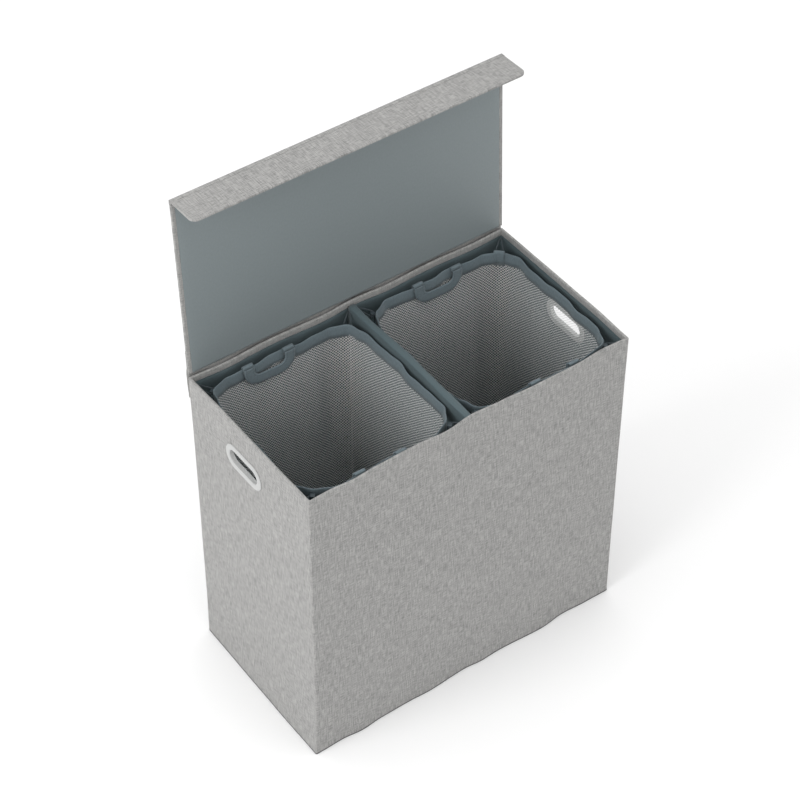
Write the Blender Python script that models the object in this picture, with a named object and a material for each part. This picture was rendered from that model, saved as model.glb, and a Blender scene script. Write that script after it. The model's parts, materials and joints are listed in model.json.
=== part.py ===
"""Double laundry hamper: a cloth-covered board box with a divider, a hinged lid with a front flap,
and two lift-out net liners that hang by small hooks on cord loops in the box's corners.

Metres, +Z up, front at -Y. The origin is the middle of the underside. The lid stands open.
"""

import math

import bmesh
import bpy
from mathutils import Vector

# Box
WIDTH = 0.610
DEPTH = 0.330
HEIGHT = 0.600
GAP = 0.0003  # left between pieces that touch

# Cloths and boards
CLOTH = 0.0007
LINING = 0.0004
WALL_BOARD = 0.002
BASE_BOARD = 0.004
LID_BOARD = 0.0025
FLAP_BOARD = 0.002
RIM_TURN = 0.012  # how far the rim facing turns down inside the wall

# Divider
DIVIDER_BOARD = 0.006
DIVIDER_CLOTH = 0.001
DIVIDER_DROP = 0.005  # below the rim

# Lid, hinge strip and flap
LID_LEAN = math.radians(2.4)  # past upright
LID_REST = 0.0006  # gap between the closed lid and the rim
LID_START = 0.001  # from the hinge line to the lid's back edge
HINGE_OUT = 0.0028  # hinge line behind the back wall
LIP = 0.006  # cloth turned onto the inner face of lid and flap
STRIP_CLOTH = 0.0008
STRIP_DOWN = 0.045  # sewn to the back wall
STRIP_ON_LID = 0.045
STRIP_START = 0.003  # from the hinge line to the strip's seam on the lid
FLAP_WIDTH = 0.066
FLAP_START = 0.0006
FLAP_CORNER = 0.010
FLAP_CLEARANCE = 0.0025  # between the hanging flap and the front wall

# Hand-holds in the side walls
HOLD_LENGTH = 0.076
HOLD_HEIGHT = 0.026
HOLD_DROP = 0.074  # from the rim to the middle of the slot
HOLD_OFFSET = 0.014  # towards the back on the left wall and the front on the right wall
RING_FLANGE = 0.0112
RING_THICK = 0.0024
INNER_RING_THICK = 0.0018
SLEEVE = 0.0016

# Net liners
LINER_SIDE_GAP = 0.0076  # to the side wall and the divider, at the top
LINER_END_GAP = 0.0145  # to the front and back walls, at the top
LINER_SIDE_TAPER = 0.025  # each side, from the top to the base
LINER_END_TAPER = 0.050
LINER_CORNER = 0.048
LINER_BASE_CORNER = 0.040
LINER_TOP_DROP = 0.017  # below the rim
LINER_CLEARANCE = 0.0054  # above the base lining
NET = 0.0012
NET_INSET = 0.0005  # the net sits this far inside the trim's outer face
LINER_BASE_CLOTH = 0.0012
TRIM_HEIGHT = 0.022
TRIM = 0.0022

# Webbing handles, which hang inside the liner
HANDLE_WIDTH = 0.095
HANDLE_WEB = 0.019
HANDLE_DROP = 0.037
HANDLE_THICK = 0.0018
HANDLE_CLEARANCE = 0.0007  # to the net
HANDLE_CORNER = 0.030
HANDLE_SHIFT = {  # along X from the liner's middle, as sewn
    ("left", "front"): -0.009,
    ("left", "back"): -0.019,
    ("right", "front"): 0.019,
    ("right", "back"): 0.005,
}

# Corner cord loops and the hooks that hang on them
CORD_R = 0.0011
HOOK_LEG = 0.0016
HOOK_THROAT = 0.0044
HOOK_WIDTH = 0.008
HOOK_INNER_LENGTH = 0.018
HOOK_OUTER_LENGTH = 0.010
HOOK_DROP = 0.005  # top of the hook below the trim's top
CORD_IN_THROAT = 0.002  # from the hook's inner leg to the cord's middle
LOOP_HALF_WIDTH = 0.007
LOOP_RISE = 0.0092
LOOP_END_CLEARANCE = 0.0052  # from the walls' corner to the loop's end

ARC_STEPS = 5

# Worked out from the above
WALL = CLOTH + GAP + WALL_BOARD + GAP + LINING
FLOOR = CLOTH + GAP  # top of the underside cloth, with its gap
WALL_TOP = HEIGHT - CLOTH - GAP
BASE_TOP = FLOOR + BASE_BOARD + GAP + LINING
LID_THICK = CLOTH + GAP + LID_BOARD + GAP + CLOTH
FLAP_THICK = CLOTH + GAP + FLAP_BOARD + GAP + CLOTH
HINGE_Y = DEPTH / 2 + HINGE_OUT
HINGE_Z = HEIGHT + LID_REST + LID_THICK
LID_REACH = HINGE_Y + DEPTH / 2 + FLAP_CLEARANCE + FLAP_THICK  # hinge line to the flap's outer face
LID_END = LID_REACH - FLAP_THICK - GAP
RIM_WIDTH = WALL + GAP + CLOTH
DIVIDER_HALF = DIVIDER_BOARD / 2 + GAP + DIVIDER_CLOTH
COMPARTMENT_X = (DIVIDER_HALF + WIDTH / 2 - WALL) / 2
LINER_TOP = HEIGHT - LINER_TOP_DROP
LINER_BOTTOM = BASE_TOP + LINER_CLEARANCE
LINER_WIDTH = WIDTH / 2 - WALL - DIVIDER_HALF - 2 * LINER_SIDE_GAP
LINER_DEPTH = DEPTH - 2 * (WALL + LINER_END_GAP)
LINER_BASE_WIDTH = LINER_WIDTH - 2 * LINER_SIDE_TAPER
LINER_BASE_DEPTH = LINER_DEPTH - 2 * LINER_END_TAPER
HOLD_Z = HEIGHT - HOLD_DROP
HOOK_TOP = LINER_TOP - HOOK_DROP
CORD_Z = HOOK_TOP - HOOK_LEG - GAP - CORD_R

COLOURS = {  # base colour, roughness
    "linen": ((0.42, 0.42, 0.41), 0.9),
    "lining": ((0.13, 0.16, 0.17), 0.6),
    "chipboard": ((0.30, 0.25, 0.18), 0.9),
    "underside_cloth": ((0.05, 0.05, 0.055), 0.95),
    "net": ((0.26, 0.28, 0.28), 0.7),
    "webbing": ((0.10, 0.13, 0.15), 0.8),
    "ring_plastic": ((0.72, 0.72, 0.71), 0.4),
    "hook_plastic": ((0.08, 0.10, 0.11), 0.5),
    "cord": ((0.07, 0.09, 0.10), 0.8),
}


def clear_scene():
    for obj in list(bpy.data.objects):
        bpy.data.objects.remove(obj, do_unlink=True)


def material(slot):
    found = bpy.data.materials.get(slot)
    if found:
        return found
    made = bpy.data.materials.new(slot)
    made.use_nodes = True
    shader = made.node_tree.nodes["Principled BSDF"]
    rgb, roughness = COLOURS[slot]
    shader.inputs["Base Color"].default_value = (*rgb, 1)
    shader.inputs["Roughness"].default_value = roughness
    shader.inputs["Metallic"].default_value = 0
    return made


def add(name, data, slot, parent=None):
    obj = bpy.data.objects.new(name, data)
    bpy.context.scene.collection.objects.link(obj)
    if not data.materials:
        data.materials.append(material(slot))
    obj.parent = parent
    return obj


def empty(name, place, turn=(0, 0, 0), parent=None):
    obj = bpy.data.objects.new(name, None)
    bpy.context.scene.collection.objects.link(obj)
    obj.location = place
    obj.rotation_euler = turn
    obj.parent = parent
    return obj


def mesh_of(name, bm):
    bmesh.ops.recalc_face_normals(bm, faces=bm.faces)
    data = bpy.data.meshes.new(name)
    bm.to_mesh(data)
    bm.free()
    data.shade_smooth()
    data.set_sharp_from_angle(angle=math.radians(35))
    return data


def skin(name, loops, closed_ring=False):
    """A mesh through loops of points with equal counts, capped at both ends or joined into a ring."""
    bm = bmesh.new()
    rows = [[bm.verts.new(point) for point in loop] for loop in loops]
    pairs = list(zip(rows, rows[1:]))
    if closed_ring:
        pairs.append((rows[-1], rows[0]))
    else:
        bm.faces.new(rows[0])
        bm.faces.new(rows[-1])
    for low, high in pairs:
        for i in range(len(low)):
            j = (i + 1) % len(low)
            bm.faces.new((low[i], low[j], high[j], high[i]))
    return mesh_of(name, bm)


def slab(name, low, high, slot, parent=None):
    """A box between two corners."""
    outline = [(low[0], low[1]), (high[0], low[1]), (high[0], high[1]), (low[0], high[1])]
    loops = [[(x, y, z) for x, y in outline] for z in (low[2], high[2])]
    return add(name, skin(name, loops), slot, parent)


def arc(centre, radius, start, end, steps=ARC_STEPS):
    """Points on an arc, ends included; angles in degrees."""
    angles = [math.radians(start + (end - start) * i / (steps - 1)) for i in range(steps)]
    return [(centre[0] + radius * math.cos(a), centre[1] + radius * math.sin(a)) for a in angles]


def rounded_rectangle(half_x, half_y, radius):
    points = []
    for sign_x, sign_y, start in ((1, 1, 0), (-1, 1, 90), (-1, -1, 180), (1, -1, 270)):
        centre = (sign_x * (half_x - radius), sign_y * (half_y - radius))
        points += arc(centre, radius, start, start + 90)
    return points


def stadium(length, height, offset=0.0):
    """Outline of a slot with round ends, grown by offset."""
    half = (length - height) / 2
    radius = height / 2 + offset
    steps = 2 * ARC_STEPS - 1
    return arc((half, 0), radius, -90, 90, steps) + arc((-half, 0), radius, 90, 270, steps)


def underside_and_base():
    slab("bottom_cover", (-WIDTH / 2, -DEPTH / 2, 0), (WIDTH / 2, DEPTH / 2, CLOTH), "underside_cloth")
    half_x = WIDTH / 2 - WALL - GAP
    half_y = DEPTH / 2 - WALL - GAP
    board_top = FLOOR + BASE_BOARD
    slab("base_board", (-half_x, -half_y, FLOOR), (half_x, half_y, board_top), "chipboard")
    slab("base_lining", (-half_x, -half_y, board_top + GAP), (half_x, half_y, BASE_TOP), "lining")


def wall_layers():
    """(layer, distance from the wall's outer face, thickness, slot) from the outside in."""
    board_in = CLOTH + GAP
    lining_in = board_in + WALL_BOARD + GAP
    return (
        ("cover", 0.0, CLOTH, "linen"),
        ("board", board_in, WALL_BOARD, "chipboard"),
        ("lining", lining_in, LINING, "lining"),
    )


def front_and_back_walls():
    for end, sign in (("front", -1), ("back", 1)):
        for layer, inset, thick, slot in wall_layers():
            half = WIDTH / 2 - inset
            near, far = sorted((sign * (DEPTH / 2 - inset), sign * (DEPTH / 2 - inset - thick)))
            slab(f"{end}_{layer}", (-half, near, FLOOR), (half, far, WALL_TOP), slot)


def hold_centre_y(sign):
    return -sign * HOLD_OFFSET


def side_walls():
    """The left and right walls, each layer with the hand-hold's slot through it."""
    for side, sign in (("left", -1), ("right", 1)):
        hole = stadium(HOLD_LENGTH, HOLD_HEIGHT, SLEEVE + GAP)
        for layer, inset, thick, slot in wall_layers():
            half = DEPTH / 2 - inset - thick - GAP
            bm = bmesh.new()
            outer_x = sign * (WIDTH / 2 - inset)
            frame = [(-half, FLOOR), (half, FLOOR), (half, WALL_TOP), (-half, WALL_TOP)]
            slot_line = [(y + hold_centre_y(sign), z + HOLD_Z) for y, z in hole]
            for line in (frame, slot_line):
                verts = [bm.verts.new((outer_x, y, z)) for y, z in line]
                for i, vert in enumerate(verts):
                    bm.edges.new((vert, verts[(i + 1) % len(verts)]))
            bmesh.ops.triangle_fill(bm, edges=bm.edges, use_beauty=True)
            made = bmesh.ops.extrude_face_region(bm, geom=bm.faces)
            moved = [item for item in made["geom"] if isinstance(item, bmesh.types.BMVert)]
            bmesh.ops.translate(bm, verts=moved, vec=(-sign * thick, 0, 0))
            name = f"{side}_{layer}"
            add(name, mesh_of(name, bm), slot)


def rim_facing():
    """The linen binding: over the walls' top edge and a little way down inside."""
    top = (0.0, HEIGHT)
    profile = (
        (0.0, HEIGHT - CLOTH),
        top,
        (RIM_WIDTH, HEIGHT),
        (RIM_WIDTH, HEIGHT - RIM_TURN),
        (RIM_WIDTH - CLOTH, HEIGHT - RIM_TURN),
        (RIM_WIDTH - CLOTH, HEIGHT - CLOTH),
    )
    loops = []
    for inset, z in profile:
        half_x = WIDTH / 2 - inset
        half_y = DEPTH / 2 - inset
        corners = ((-half_x, -half_y), (half_x, -half_y), (half_x, half_y), (-half_x, half_y))
        loops.append([(x, y, z) for x, y in corners])
    add("rim_facing", skin("rim_facing", loops, closed_ring=True), "linen")


def grommets():
    """Two-part rings: an outer flange with a sleeve through the wall, and an inner flange round it."""
    outer_profile = (
        (0.0, -GAP - RING_THICK * 0.7),
        (RING_FLANGE * 0.2, -GAP - RING_THICK),
        (RING_FLANGE * 0.8, -GAP - RING_THICK),
        (RING_FLANGE, -GAP - RING_THICK * 0.4),
        (RING_FLANGE, -GAP),
        (SLEEVE, -GAP),
        (SLEEVE, WALL + GAP + INNER_RING_THICK),
        (0.0, WALL + GAP + INNER_RING_THICK),
    )
    inner_profile = (
        (SLEEVE + GAP, WALL + GAP),
        (RING_FLANGE, WALL + GAP),
        (RING_FLANGE, WALL + GAP + INNER_RING_THICK),
        (SLEEVE + GAP, WALL + GAP + INNER_RING_THICK),
    )
    for side, sign in (("left", -1), ("right", 1)):
        for part, profile in (("outer", outer_profile), ("inner", inner_profile)):
            loops = []
            for offset, depth in profile:
                x = sign * (WIDTH / 2 - depth)
                line = stadium(HOLD_LENGTH, HOLD_HEIGHT, offset)
                loops.append([(x, y + hold_centre_y(sign), z + HOLD_Z) for y, z in line])
            name = f"{side}_grommet_{part}"
            add(name, skin(name, loops, closed_ring=True), "ring_plastic")


def divider():
    half_y = DEPTH / 2 - RIM_WIDTH - GAP
    bottom = BASE_TOP + GAP
    top = HEIGHT - DIVIDER_DROP
    board_half = DIVIDER_BOARD / 2
    board_top = top - DIVIDER_CLOTH - GAP
    slab("divider_board", (-board_half, -half_y, bottom), (board_half, half_y, board_top), "chipboard")
    inner = board_half + GAP
    outer = DIVIDER_HALF
    chamfer = DIVIDER_CLOTH
    profile = [
        (-outer, bottom),
        (-outer, top - chamfer),
        (-outer + chamfer, top),
        (outer - chamfer, top),
        (outer, top - chamfer),
        (outer, bottom),
        (inner, bottom),
        (inner, board_top + GAP),
        (-inner, board_top + GAP),
        (-inner, bottom),
    ]
    loops = [[(x, y, z) for x, z in profile] for y in (-half_y, half_y)]
    add("divider_cover", skin("divider_cover", loops), "lining")


def wrapped_panel(prefix, outline, thick, board, parent):
    """A board in a linen cover that turns over its edges, with a lining between the turned lips.

    outline(inset) gives the panel's outline. The outer face is at z = 0 and the inner at -thick.
    """
    turns = ((0, 0), (0, -thick), (LIP, -thick), (LIP, -thick + CLOTH), (CLOTH, -thick + CLOTH), (CLOTH, -CLOTH))
    loops = [[(x, y, z) for x, y in outline(inset)] for inset, z in turns]
    add(f"{prefix}_cover", skin(f"{prefix}_cover", loops), "linen", parent)
    board_top = -CLOTH - GAP
    plates = (
        ("board", CLOTH + GAP, board_top, board_top - board, "chipboard"),
        ("lining", LIP + GAP, -thick + LINING, -thick, "lining"),
    )
    for layer, inset, high, low, slot in plates:
        loops = [[(x, y, z) for x, y in outline(inset)] for z in (low, high)]
        add(f"{prefix}_{layer}", skin(f"{prefix}_{layer}", loops), slot, parent)


def lid():
    """The lid in its closed attitude under an empty on the hinge line, then turned up."""
    axis = empty("lid_axis", (0, HINGE_Y, HINGE_Z), (-math.radians(90) - LID_LEAN, 0, 0))

    def outline(inset):
        half = WIDTH / 2 - inset
        back = -LID_START - inset
        front = -LID_END + inset
        return [(-half, front), (half, front), (half, back), (-half, back)]

    wrapped_panel("lid", outline, LID_THICK, LID_BOARD, axis)
    slab(
        "hinge_strip_lid",
        (-WIDTH / 2, -STRIP_ON_LID, GAP),
        (WIDTH / 2, -STRIP_START, GAP + STRIP_CLOTH),
        "linen",
        axis,
    )
    slab(
        "hinge_strip_wall",
        (-WIDTH / 2, DEPTH / 2 + GAP, HEIGHT - STRIP_DOWN),
        (WIDTH / 2, DEPTH / 2 + GAP + STRIP_CLOTH, HEIGHT),
        "linen",
    )
    return axis


def flap(lid_axis):
    """The front flap, square to the lid, hinged on the lid's front edge."""
    axis = empty("flap_axis", (0, -LID_REACH, 0), (math.radians(90), 0, 0), lid_axis)

    def outline(inset):
        half = WIDTH / 2 - inset
        back = -FLAP_START - inset
        front = -FLAP_WIDTH + inset
        radius = max(FLAP_CORNER - inset, FLAP_CORNER / 4)
        left = arc((-half + radius, front + radius), radius, 180, 270)
        right = arc((half - radius, front + radius), radius, 270, 360)
        return left + right + [(half, back), (-half, back)]

    wrapped_panel("flap", outline, FLAP_THICK, FLAP_BOARD, axis)


def liner_half_sizes(z, inset):
    """Half width, half depth and corner radius of the liner's outer face at a height."""
    share = (LINER_TOP - z) / (LINER_TOP - LINER_BOTTOM)
    half_x = LINER_WIDTH / 2 + share * (LINER_BASE_WIDTH - LINER_WIDTH) / 2 - inset
    half_y = LINER_DEPTH / 2 + share * (LINER_BASE_DEPTH - LINER_DEPTH) / 2 - inset
    radius = LINER_CORNER + share * (LINER_BASE_CORNER - LINER_CORNER) - inset
    return half_x, half_y, radius


def liner_loop(z, inset):
    return [(x, y, z) for x, y in rounded_rectangle(*liner_half_sizes(z, inset))]


def liner_meshes():
    """Net, base and trim, which both liners share."""
    net_top = LINER_TOP - TRIM_HEIGHT - GAP
    net_bottom = LINER_BOTTOM + LINER_BASE_CLOTH + GAP
    outer = NET_INSET
    inner = NET_INSET + NET
    net = skin(
        "net",
        [liner_loop(net_bottom, outer), liner_loop(net_top, outer), liner_loop(net_top, inner), liner_loop(net_bottom, inner)],
        closed_ring=True,
    )
    base_line = rounded_rectangle(*liner_half_sizes(net_bottom, outer))
    base = skin("liner_base", [[(x, y, z) for x, y in base_line] for z in (LINER_BOTTOM, net_bottom - GAP)])
    trim_loops = []
    for inset, z in ((0, LINER_TOP - TRIM_HEIGHT), (0, LINER_TOP), (TRIM, LINER_TOP), (TRIM, LINER_TOP - TRIM_HEIGHT)):
        line = rounded_rectangle(LINER_WIDTH / 2 - inset, LINER_DEPTH / 2 - inset, LINER_CORNER - inset)
        trim_loops.append([(x, y, z) for x, y in line])
    trim = skin("trim", trim_loops, closed_ring=True)
    return {"net": (net, "net"), "base": (base, "lining"), "trim": (trim, "webbing")}


def handle_mesh():
    """A U of webbing in the XZ plane, hanging from its axis at z = 0."""
    half = HANDLE_WIDTH / 2
    inner_half = half - HANDLE_WEB
    inner_bottom = -HANDLE_DROP + HANDLE_WEB
    inner_radius = HANDLE_CORNER - HANDLE_WEB
    top = HANDLE_THICK / 2
    outer_arcs = (
        arc((-half + HANDLE_CORNER, -HANDLE_DROP + HANDLE_CORNER), HANDLE_CORNER, 180, 270),
        arc((half - HANDLE_CORNER, -HANDLE_DROP + HANDLE_CORNER), HANDLE_CORNER, 270, 360),
    )
    inner_arcs = (
        arc((inner_half - inner_radius, inner_bottom + inner_radius), inner_radius, 360, 270),
        arc((-inner_half + inner_radius, inner_bottom + inner_radius), inner_radius, 270, 180),
    )
    outline = [(-half, top)] + outer_arcs[0] + outer_arcs[1] + [(half, top)]
    outline += [(inner_half, top)] + inner_arcs[0] + inner_arcs[1] + [(-inner_half, top)]
    loops = [[(x, y, z) for x, z in outline] for y in (-HANDLE_THICK / 2, HANDLE_THICK / 2)]
    return skin("handle", loops)


def hook_mesh():
    """A flat hook open at the bottom, in its own frame: X outwards from the liner's corner, Z up."""
    inner = LINER_CORNER + GAP
    throat = inner + HOOK_LEG
    outer = throat + HOOK_THROAT
    end = outer + HOOK_LEG
    profile = [
        (inner, HOOK_TOP - HOOK_INNER_LENGTH),
        (inner, HOOK_TOP),
        (end, HOOK_TOP),
        (end, HOOK_TOP - HOOK_OUTER_LENGTH),
        (outer, HOOK_TOP - HOOK_OUTER_LENGTH),
        (outer, HOOK_TOP - HOOK_LEG),
        (throat, HOOK_TOP - HOOK_LEG),
        (throat, HOOK_TOP - HOOK_INNER_LENGTH),
    ]
    loops = [[(u, v, z) for u, z in profile] for v in (-HOOK_WIDTH / 2, HOOK_WIDTH / 2)]
    return skin("hook", loops)


def corner_direction():
    """From a liner's corner centre to the walls' inner corner: the distance, and its X and Y shares."""
    reach_x = (WIDTH / 2 - WALL - DIVIDER_HALF) / 2 - (LINER_WIDTH / 2 - LINER_CORNER)
    reach_y = (DEPTH / 2 - WALL) - (LINER_DEPTH / 2 - LINER_CORNER)
    return math.hypot(reach_x, reach_y), reach_x, reach_y


def loop_curve():
    """A closed cord loop in the hook's frame: a bar through the throat and two strands to the corner."""
    bar = LINER_CORNER + GAP + HOOK_LEG + CORD_IN_THROAT
    end = corner_direction()[0] - LOOP_END_CLEARANCE
    half_points = [
        (bar, LOOP_HALF_WIDTH - CORD_IN_THROAT),
        (bar + CORD_IN_THROAT / 4, LOOP_HALF_WIDTH - CORD_IN_THROAT / 4),
        (bar + CORD_IN_THROAT, LOOP_HALF_WIDTH),
        (end - CORD_IN_THROAT, CORD_R * 1.8),
        (end - CORD_IN_THROAT / 4, CORD_R * 1.2),
    ]
    line = half_points + [(end, 0.0)] + [(u, -v) for u, v in reversed(half_points)]
    data = bpy.data.curves.new("cord_loop", "CURVE")
    data.dimensions = "3D"
    data.bevel_depth = CORD_R
    data.bevel_resolution = 1
    spline = data.splines.new("POLY")
    spline.points.add(len(line) - 1)
    for point, (u, v) in zip(spline.points, line):
        z = CORD_Z + LOOP_RISE * (u - bar) / (end - bar)
        point.co = (u, v, z, 1)
    spline.use_cyclic_u = True
    return data


def liners():
    parts = liner_meshes()
    handle = handle_mesh()
    hook = hook_mesh()
    cord = loop_curve()
    handle_z = LINER_TOP - HANDLE_THICK
    net_y = liner_half_sizes(handle_z - HANDLE_DROP, NET_INSET + NET)[1]
    handle_y = net_y - HANDLE_CLEARANCE - HANDLE_THICK / 2
    _, reach_x, reach_y = corner_direction()
    for side, side_sign in (("left", -1), ("right", 1)):
        axis = empty(f"{side}_liner_axis", (side_sign * COMPARTMENT_X, 0, 0))
        for part, (data, slot) in parts.items():
            add(f"{side}_liner_{part}", data, slot, axis)
        for end, end_sign in (("front", -1), ("back", 1)):
            place = (HANDLE_SHIFT[side, end], end_sign * handle_y, handle_z)
            hinge = empty(f"{side}_{end}_handle_axis", place, parent=axis)
            add(f"{side}_{end}_handle", handle, "webbing", hinge)
            for place_name, place_sign in (("outer", side_sign), ("inner", -side_sign)):
                turn = math.atan2(end_sign * reach_y, place_sign * reach_x)
                corner = Vector(
                    (
                        place_sign * (LINER_WIDTH / 2 - LINER_CORNER),
                        end_sign * (LINER_DEPTH / 2 - LINER_CORNER),
                        0,
                    )
                )
                held = add(f"{side}_{end}_{place_name}_hook", hook, "hook_plastic", axis)
                held.location = corner
                held.rotation_euler.z = turn
                loop = add(f"{side}_{end}_{place_name}_cord_loop", cord, "cord")
                loop.location = corner + Vector((side_sign * COMPARTMENT_X, 0, 0))
                loop.rotation_euler.z = turn


clear_scene()
underside_and_base()
front_and_back_walls()
side_walls()
rim_facing()
grommets()
divider()
flap(lid())
liners()
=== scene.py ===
import json
import math

import bmesh
import bpy
import numpy as np
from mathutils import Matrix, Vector


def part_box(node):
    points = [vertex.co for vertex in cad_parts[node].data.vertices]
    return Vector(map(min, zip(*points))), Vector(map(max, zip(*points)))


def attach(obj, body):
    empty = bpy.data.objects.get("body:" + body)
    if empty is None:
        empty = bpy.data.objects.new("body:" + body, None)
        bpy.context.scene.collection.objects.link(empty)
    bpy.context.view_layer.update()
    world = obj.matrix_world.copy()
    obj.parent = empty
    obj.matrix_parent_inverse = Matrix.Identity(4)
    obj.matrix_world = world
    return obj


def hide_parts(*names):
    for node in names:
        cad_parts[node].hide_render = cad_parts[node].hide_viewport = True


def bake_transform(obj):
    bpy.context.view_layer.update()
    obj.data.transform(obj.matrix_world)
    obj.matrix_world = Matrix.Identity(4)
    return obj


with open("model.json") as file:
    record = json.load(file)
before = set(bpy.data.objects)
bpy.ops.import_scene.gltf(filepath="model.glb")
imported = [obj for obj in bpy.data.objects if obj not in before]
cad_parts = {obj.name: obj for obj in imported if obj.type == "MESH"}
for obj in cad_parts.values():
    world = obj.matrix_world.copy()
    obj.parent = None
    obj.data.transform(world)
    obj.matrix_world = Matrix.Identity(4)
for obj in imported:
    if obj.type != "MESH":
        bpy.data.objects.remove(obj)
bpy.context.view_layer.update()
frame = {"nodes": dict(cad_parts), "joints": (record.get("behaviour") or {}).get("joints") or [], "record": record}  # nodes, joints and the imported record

bl_info = {
    "name": "Linen laundry hamper",
    "version": (1, 0, 0),
    "blender": (4, 5, 0),
    "location": "3D View > Sidebar > Hamper",
    "description": "The cloth, net and fittings of a double laundry hamper, round its packed frame",
    "category": "Object",
}

MM = 0.001

# Places from the frame
FLOOR_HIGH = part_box("bottom_cover")[1]
RIM_LOW, RIM_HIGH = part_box("rim_facing")
HALF_X, HALF_Y, TOP = FLOOR_HIGH.x, FLOOR_HIGH.y, RIM_HIGH.z
RIM_WIDTH = HALF_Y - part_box("back_lining")[0].y + 1.0 * MM  # over a wall's rim, from its outside to its inside
BASE_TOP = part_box("base_lining")[1].z
WALL_DEPTH = HALF_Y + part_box("front_lining")[1].y  # from a wall's outside to the face of its lining
JOINTS = {joint["name"]: joint for joint in frame["joints"]}
HINGE = Vector(JOINTS["lid_hinge"]["pos_m"])
FOLD = Vector(JOINTS["flap_hinge"]["pos_m"])
LID_REACH = (FOLD - HINGE).length
LID_UP = (FOLD - HINGE).normalized()
LID_IN = Vector((0, -LID_UP.z, LID_UP.y))  # from the lid's outer face to its inner face
SIDES = ("left", "right")
ENDS = ("front", "back")
SIGN = {"left": -1, "right": 1, "front": -1, "back": 1}

# Sizes that follow the frame's small parts
WEB_WIDTH = 19 * MM  # webbing of the handles
TAB_WIDTH = 18 * MM
RING_FLANGE = 11.2 * MM  # from a hand-hold's slot to the outside of its ring
RIM_SWAY = 190 * MM  # how far below the rim its sway dies out
HEM_SWAY = 110 * MM  # and how far above the hem
WALL_SKIN = (HALF_Y - 50 * MM, HALF_Y - 6 * MM)  # a point takes up the front and back walls' sway between these
SIDE_SKIN = (HALF_X - 50 * MM, HALF_X - 6 * MM)  # and the side walls' between these

# The camera and the lights: name, place, size in metres, power in watts
CAMERA_PLACE = (-1.6562, -2.2713, 3.2533)
CAMERA_AZIMUTH = math.radians(-35.76)
CAMERA_ELEVATION = math.radians(44.34)
CAMERA_LENS = 111.34
CAMERA_SENSOR = 36
LIGHTS = (
    ("key_light", (-3.4, -0.2, 2.6), 2.2, 62),
    ("front_light", (1.2, -4.0, 2.2), 2.6, 4),
    ("top_light", (0.2, -0.2, 4.6), 2.0, 26),
)
SKY_LIGHT = 0.95
FLOOR_WHITE = 0.93

# How far the box's cloth stands off straight lines: (place along the wall, distance), in millimetres
FRONT_RIM_IN = (
    (-305, 0), (-268, 1), (-226, -1.6), (-180, 1), (-100, 1.8), (-52, -1.6),
    (4, 5.6), (60, 2.3), (120, -0.6), (200, -1.4), (255, 1.8), (305, 0),
)
BACK_RIM_IN = ((-305, 0), (-240, 3), (-150, -1), (-60, 2.5), (5, -1.5), (70, 2), (160, -1), (240, 2), (305, 0))
FRONT_HEM_OUT = (
    (-305, 0), (-255, -1), (-218, 2.5), (-178, -0.5), (-120, -1), (-80, 0.6),
    (0, -3.4), (30, -0.6), (70, -2), (160, 2), (208, -3), (260, -0.5), (305, 0),
)
BACK_HEM_OUT = ((-305, 0), (-200, 1.5), (-90, -1.5), (20, 1), (130, -2), (230, 1), (305, 0))
LEFT_HEM_OUT = ((-165, 3.4), (-60, 3.6), (40, 2.6), (165, 1.2))
RIGHT_HEM_OUT = ((-165, 0.5), (-40, 2), (60, 0.8), (165, 1))
LEFT_RIM_OUT = ((-165, 0), (-60, 0.6), (60, 0.2), (165, 1.4))
RIGHT_RIM_OUT = ((-165, 0.6), (-80, 2.6), (80, 1.8), (165, 1))


def linear(hex_colour):
    """An sRGB hex colour as linear red, green and blue."""
    channels = [int(hex_colour[i : i + 2], 16) / 255 for i in (1, 3, 5)]
    return tuple(c / 12.92 if c <= 0.04045 else ((c + 0.055) / 1.055) ** 2.4 for c in channels)


def length_setting(name, description, default):
    """A size in metres that the panel shows."""
    return bpy.props.FloatProperty(
        name=name, description=description, default=default, min=0.0, unit="LENGTH", precision=4
    )


def colour_setting(name, description, hex_colour):
    """A colour that the panel shows."""
    return bpy.props.FloatVectorProperty(
        name=name, description=description, default=linear(hex_colour), size=3, subtype="COLOR", min=0, max=1
    )


class HamperSizes(bpy.types.PropertyGroup):
    """Sizes of the cloth work."""

    cloth: length_setting("Linen thickness", "Thickness of the outer linen", 0.6 * MM)
    lining: length_setting("Lining thickness", "Thickness of the inner lining", 0.4 * MM)
    corner: length_setting("Corner radius", "Radius of the box's upright edges", 2.6 * MM)
    divider: length_setting("Divider thickness", "Thickness of the padded divider", 11.0 * MM)
    lip: length_setting("Turned edge", "Linen turned onto the inner faces of lid and flap", 6.8 * MM)
    net_pitch: length_setting("Net pitch", "Across one diamond of the net", 5.6 * MM)
    net_hole: bpy.props.FloatProperty(
        name="Net hole", description="Share of each diamond that is open", default=0.82, min=0.1, max=0.9
    )
    trim_wave: length_setting("Trim wave", "How far the liner's trim sways", 2.4 * MM)
    net_fold: length_setting("Net folds", "Depth of the folds in the hanging net", 3.0 * MM)
    stitch: length_setting("Stitch length", "Length of one stitch", 2.6 * MM)
    stitch_pitch: length_setting("Stitch pitch", "From one stitch to the next", 3.6 * MM)
    thread: length_setting("Thread thickness", "Thickness of the sewing thread", 0.5 * MM)


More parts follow.
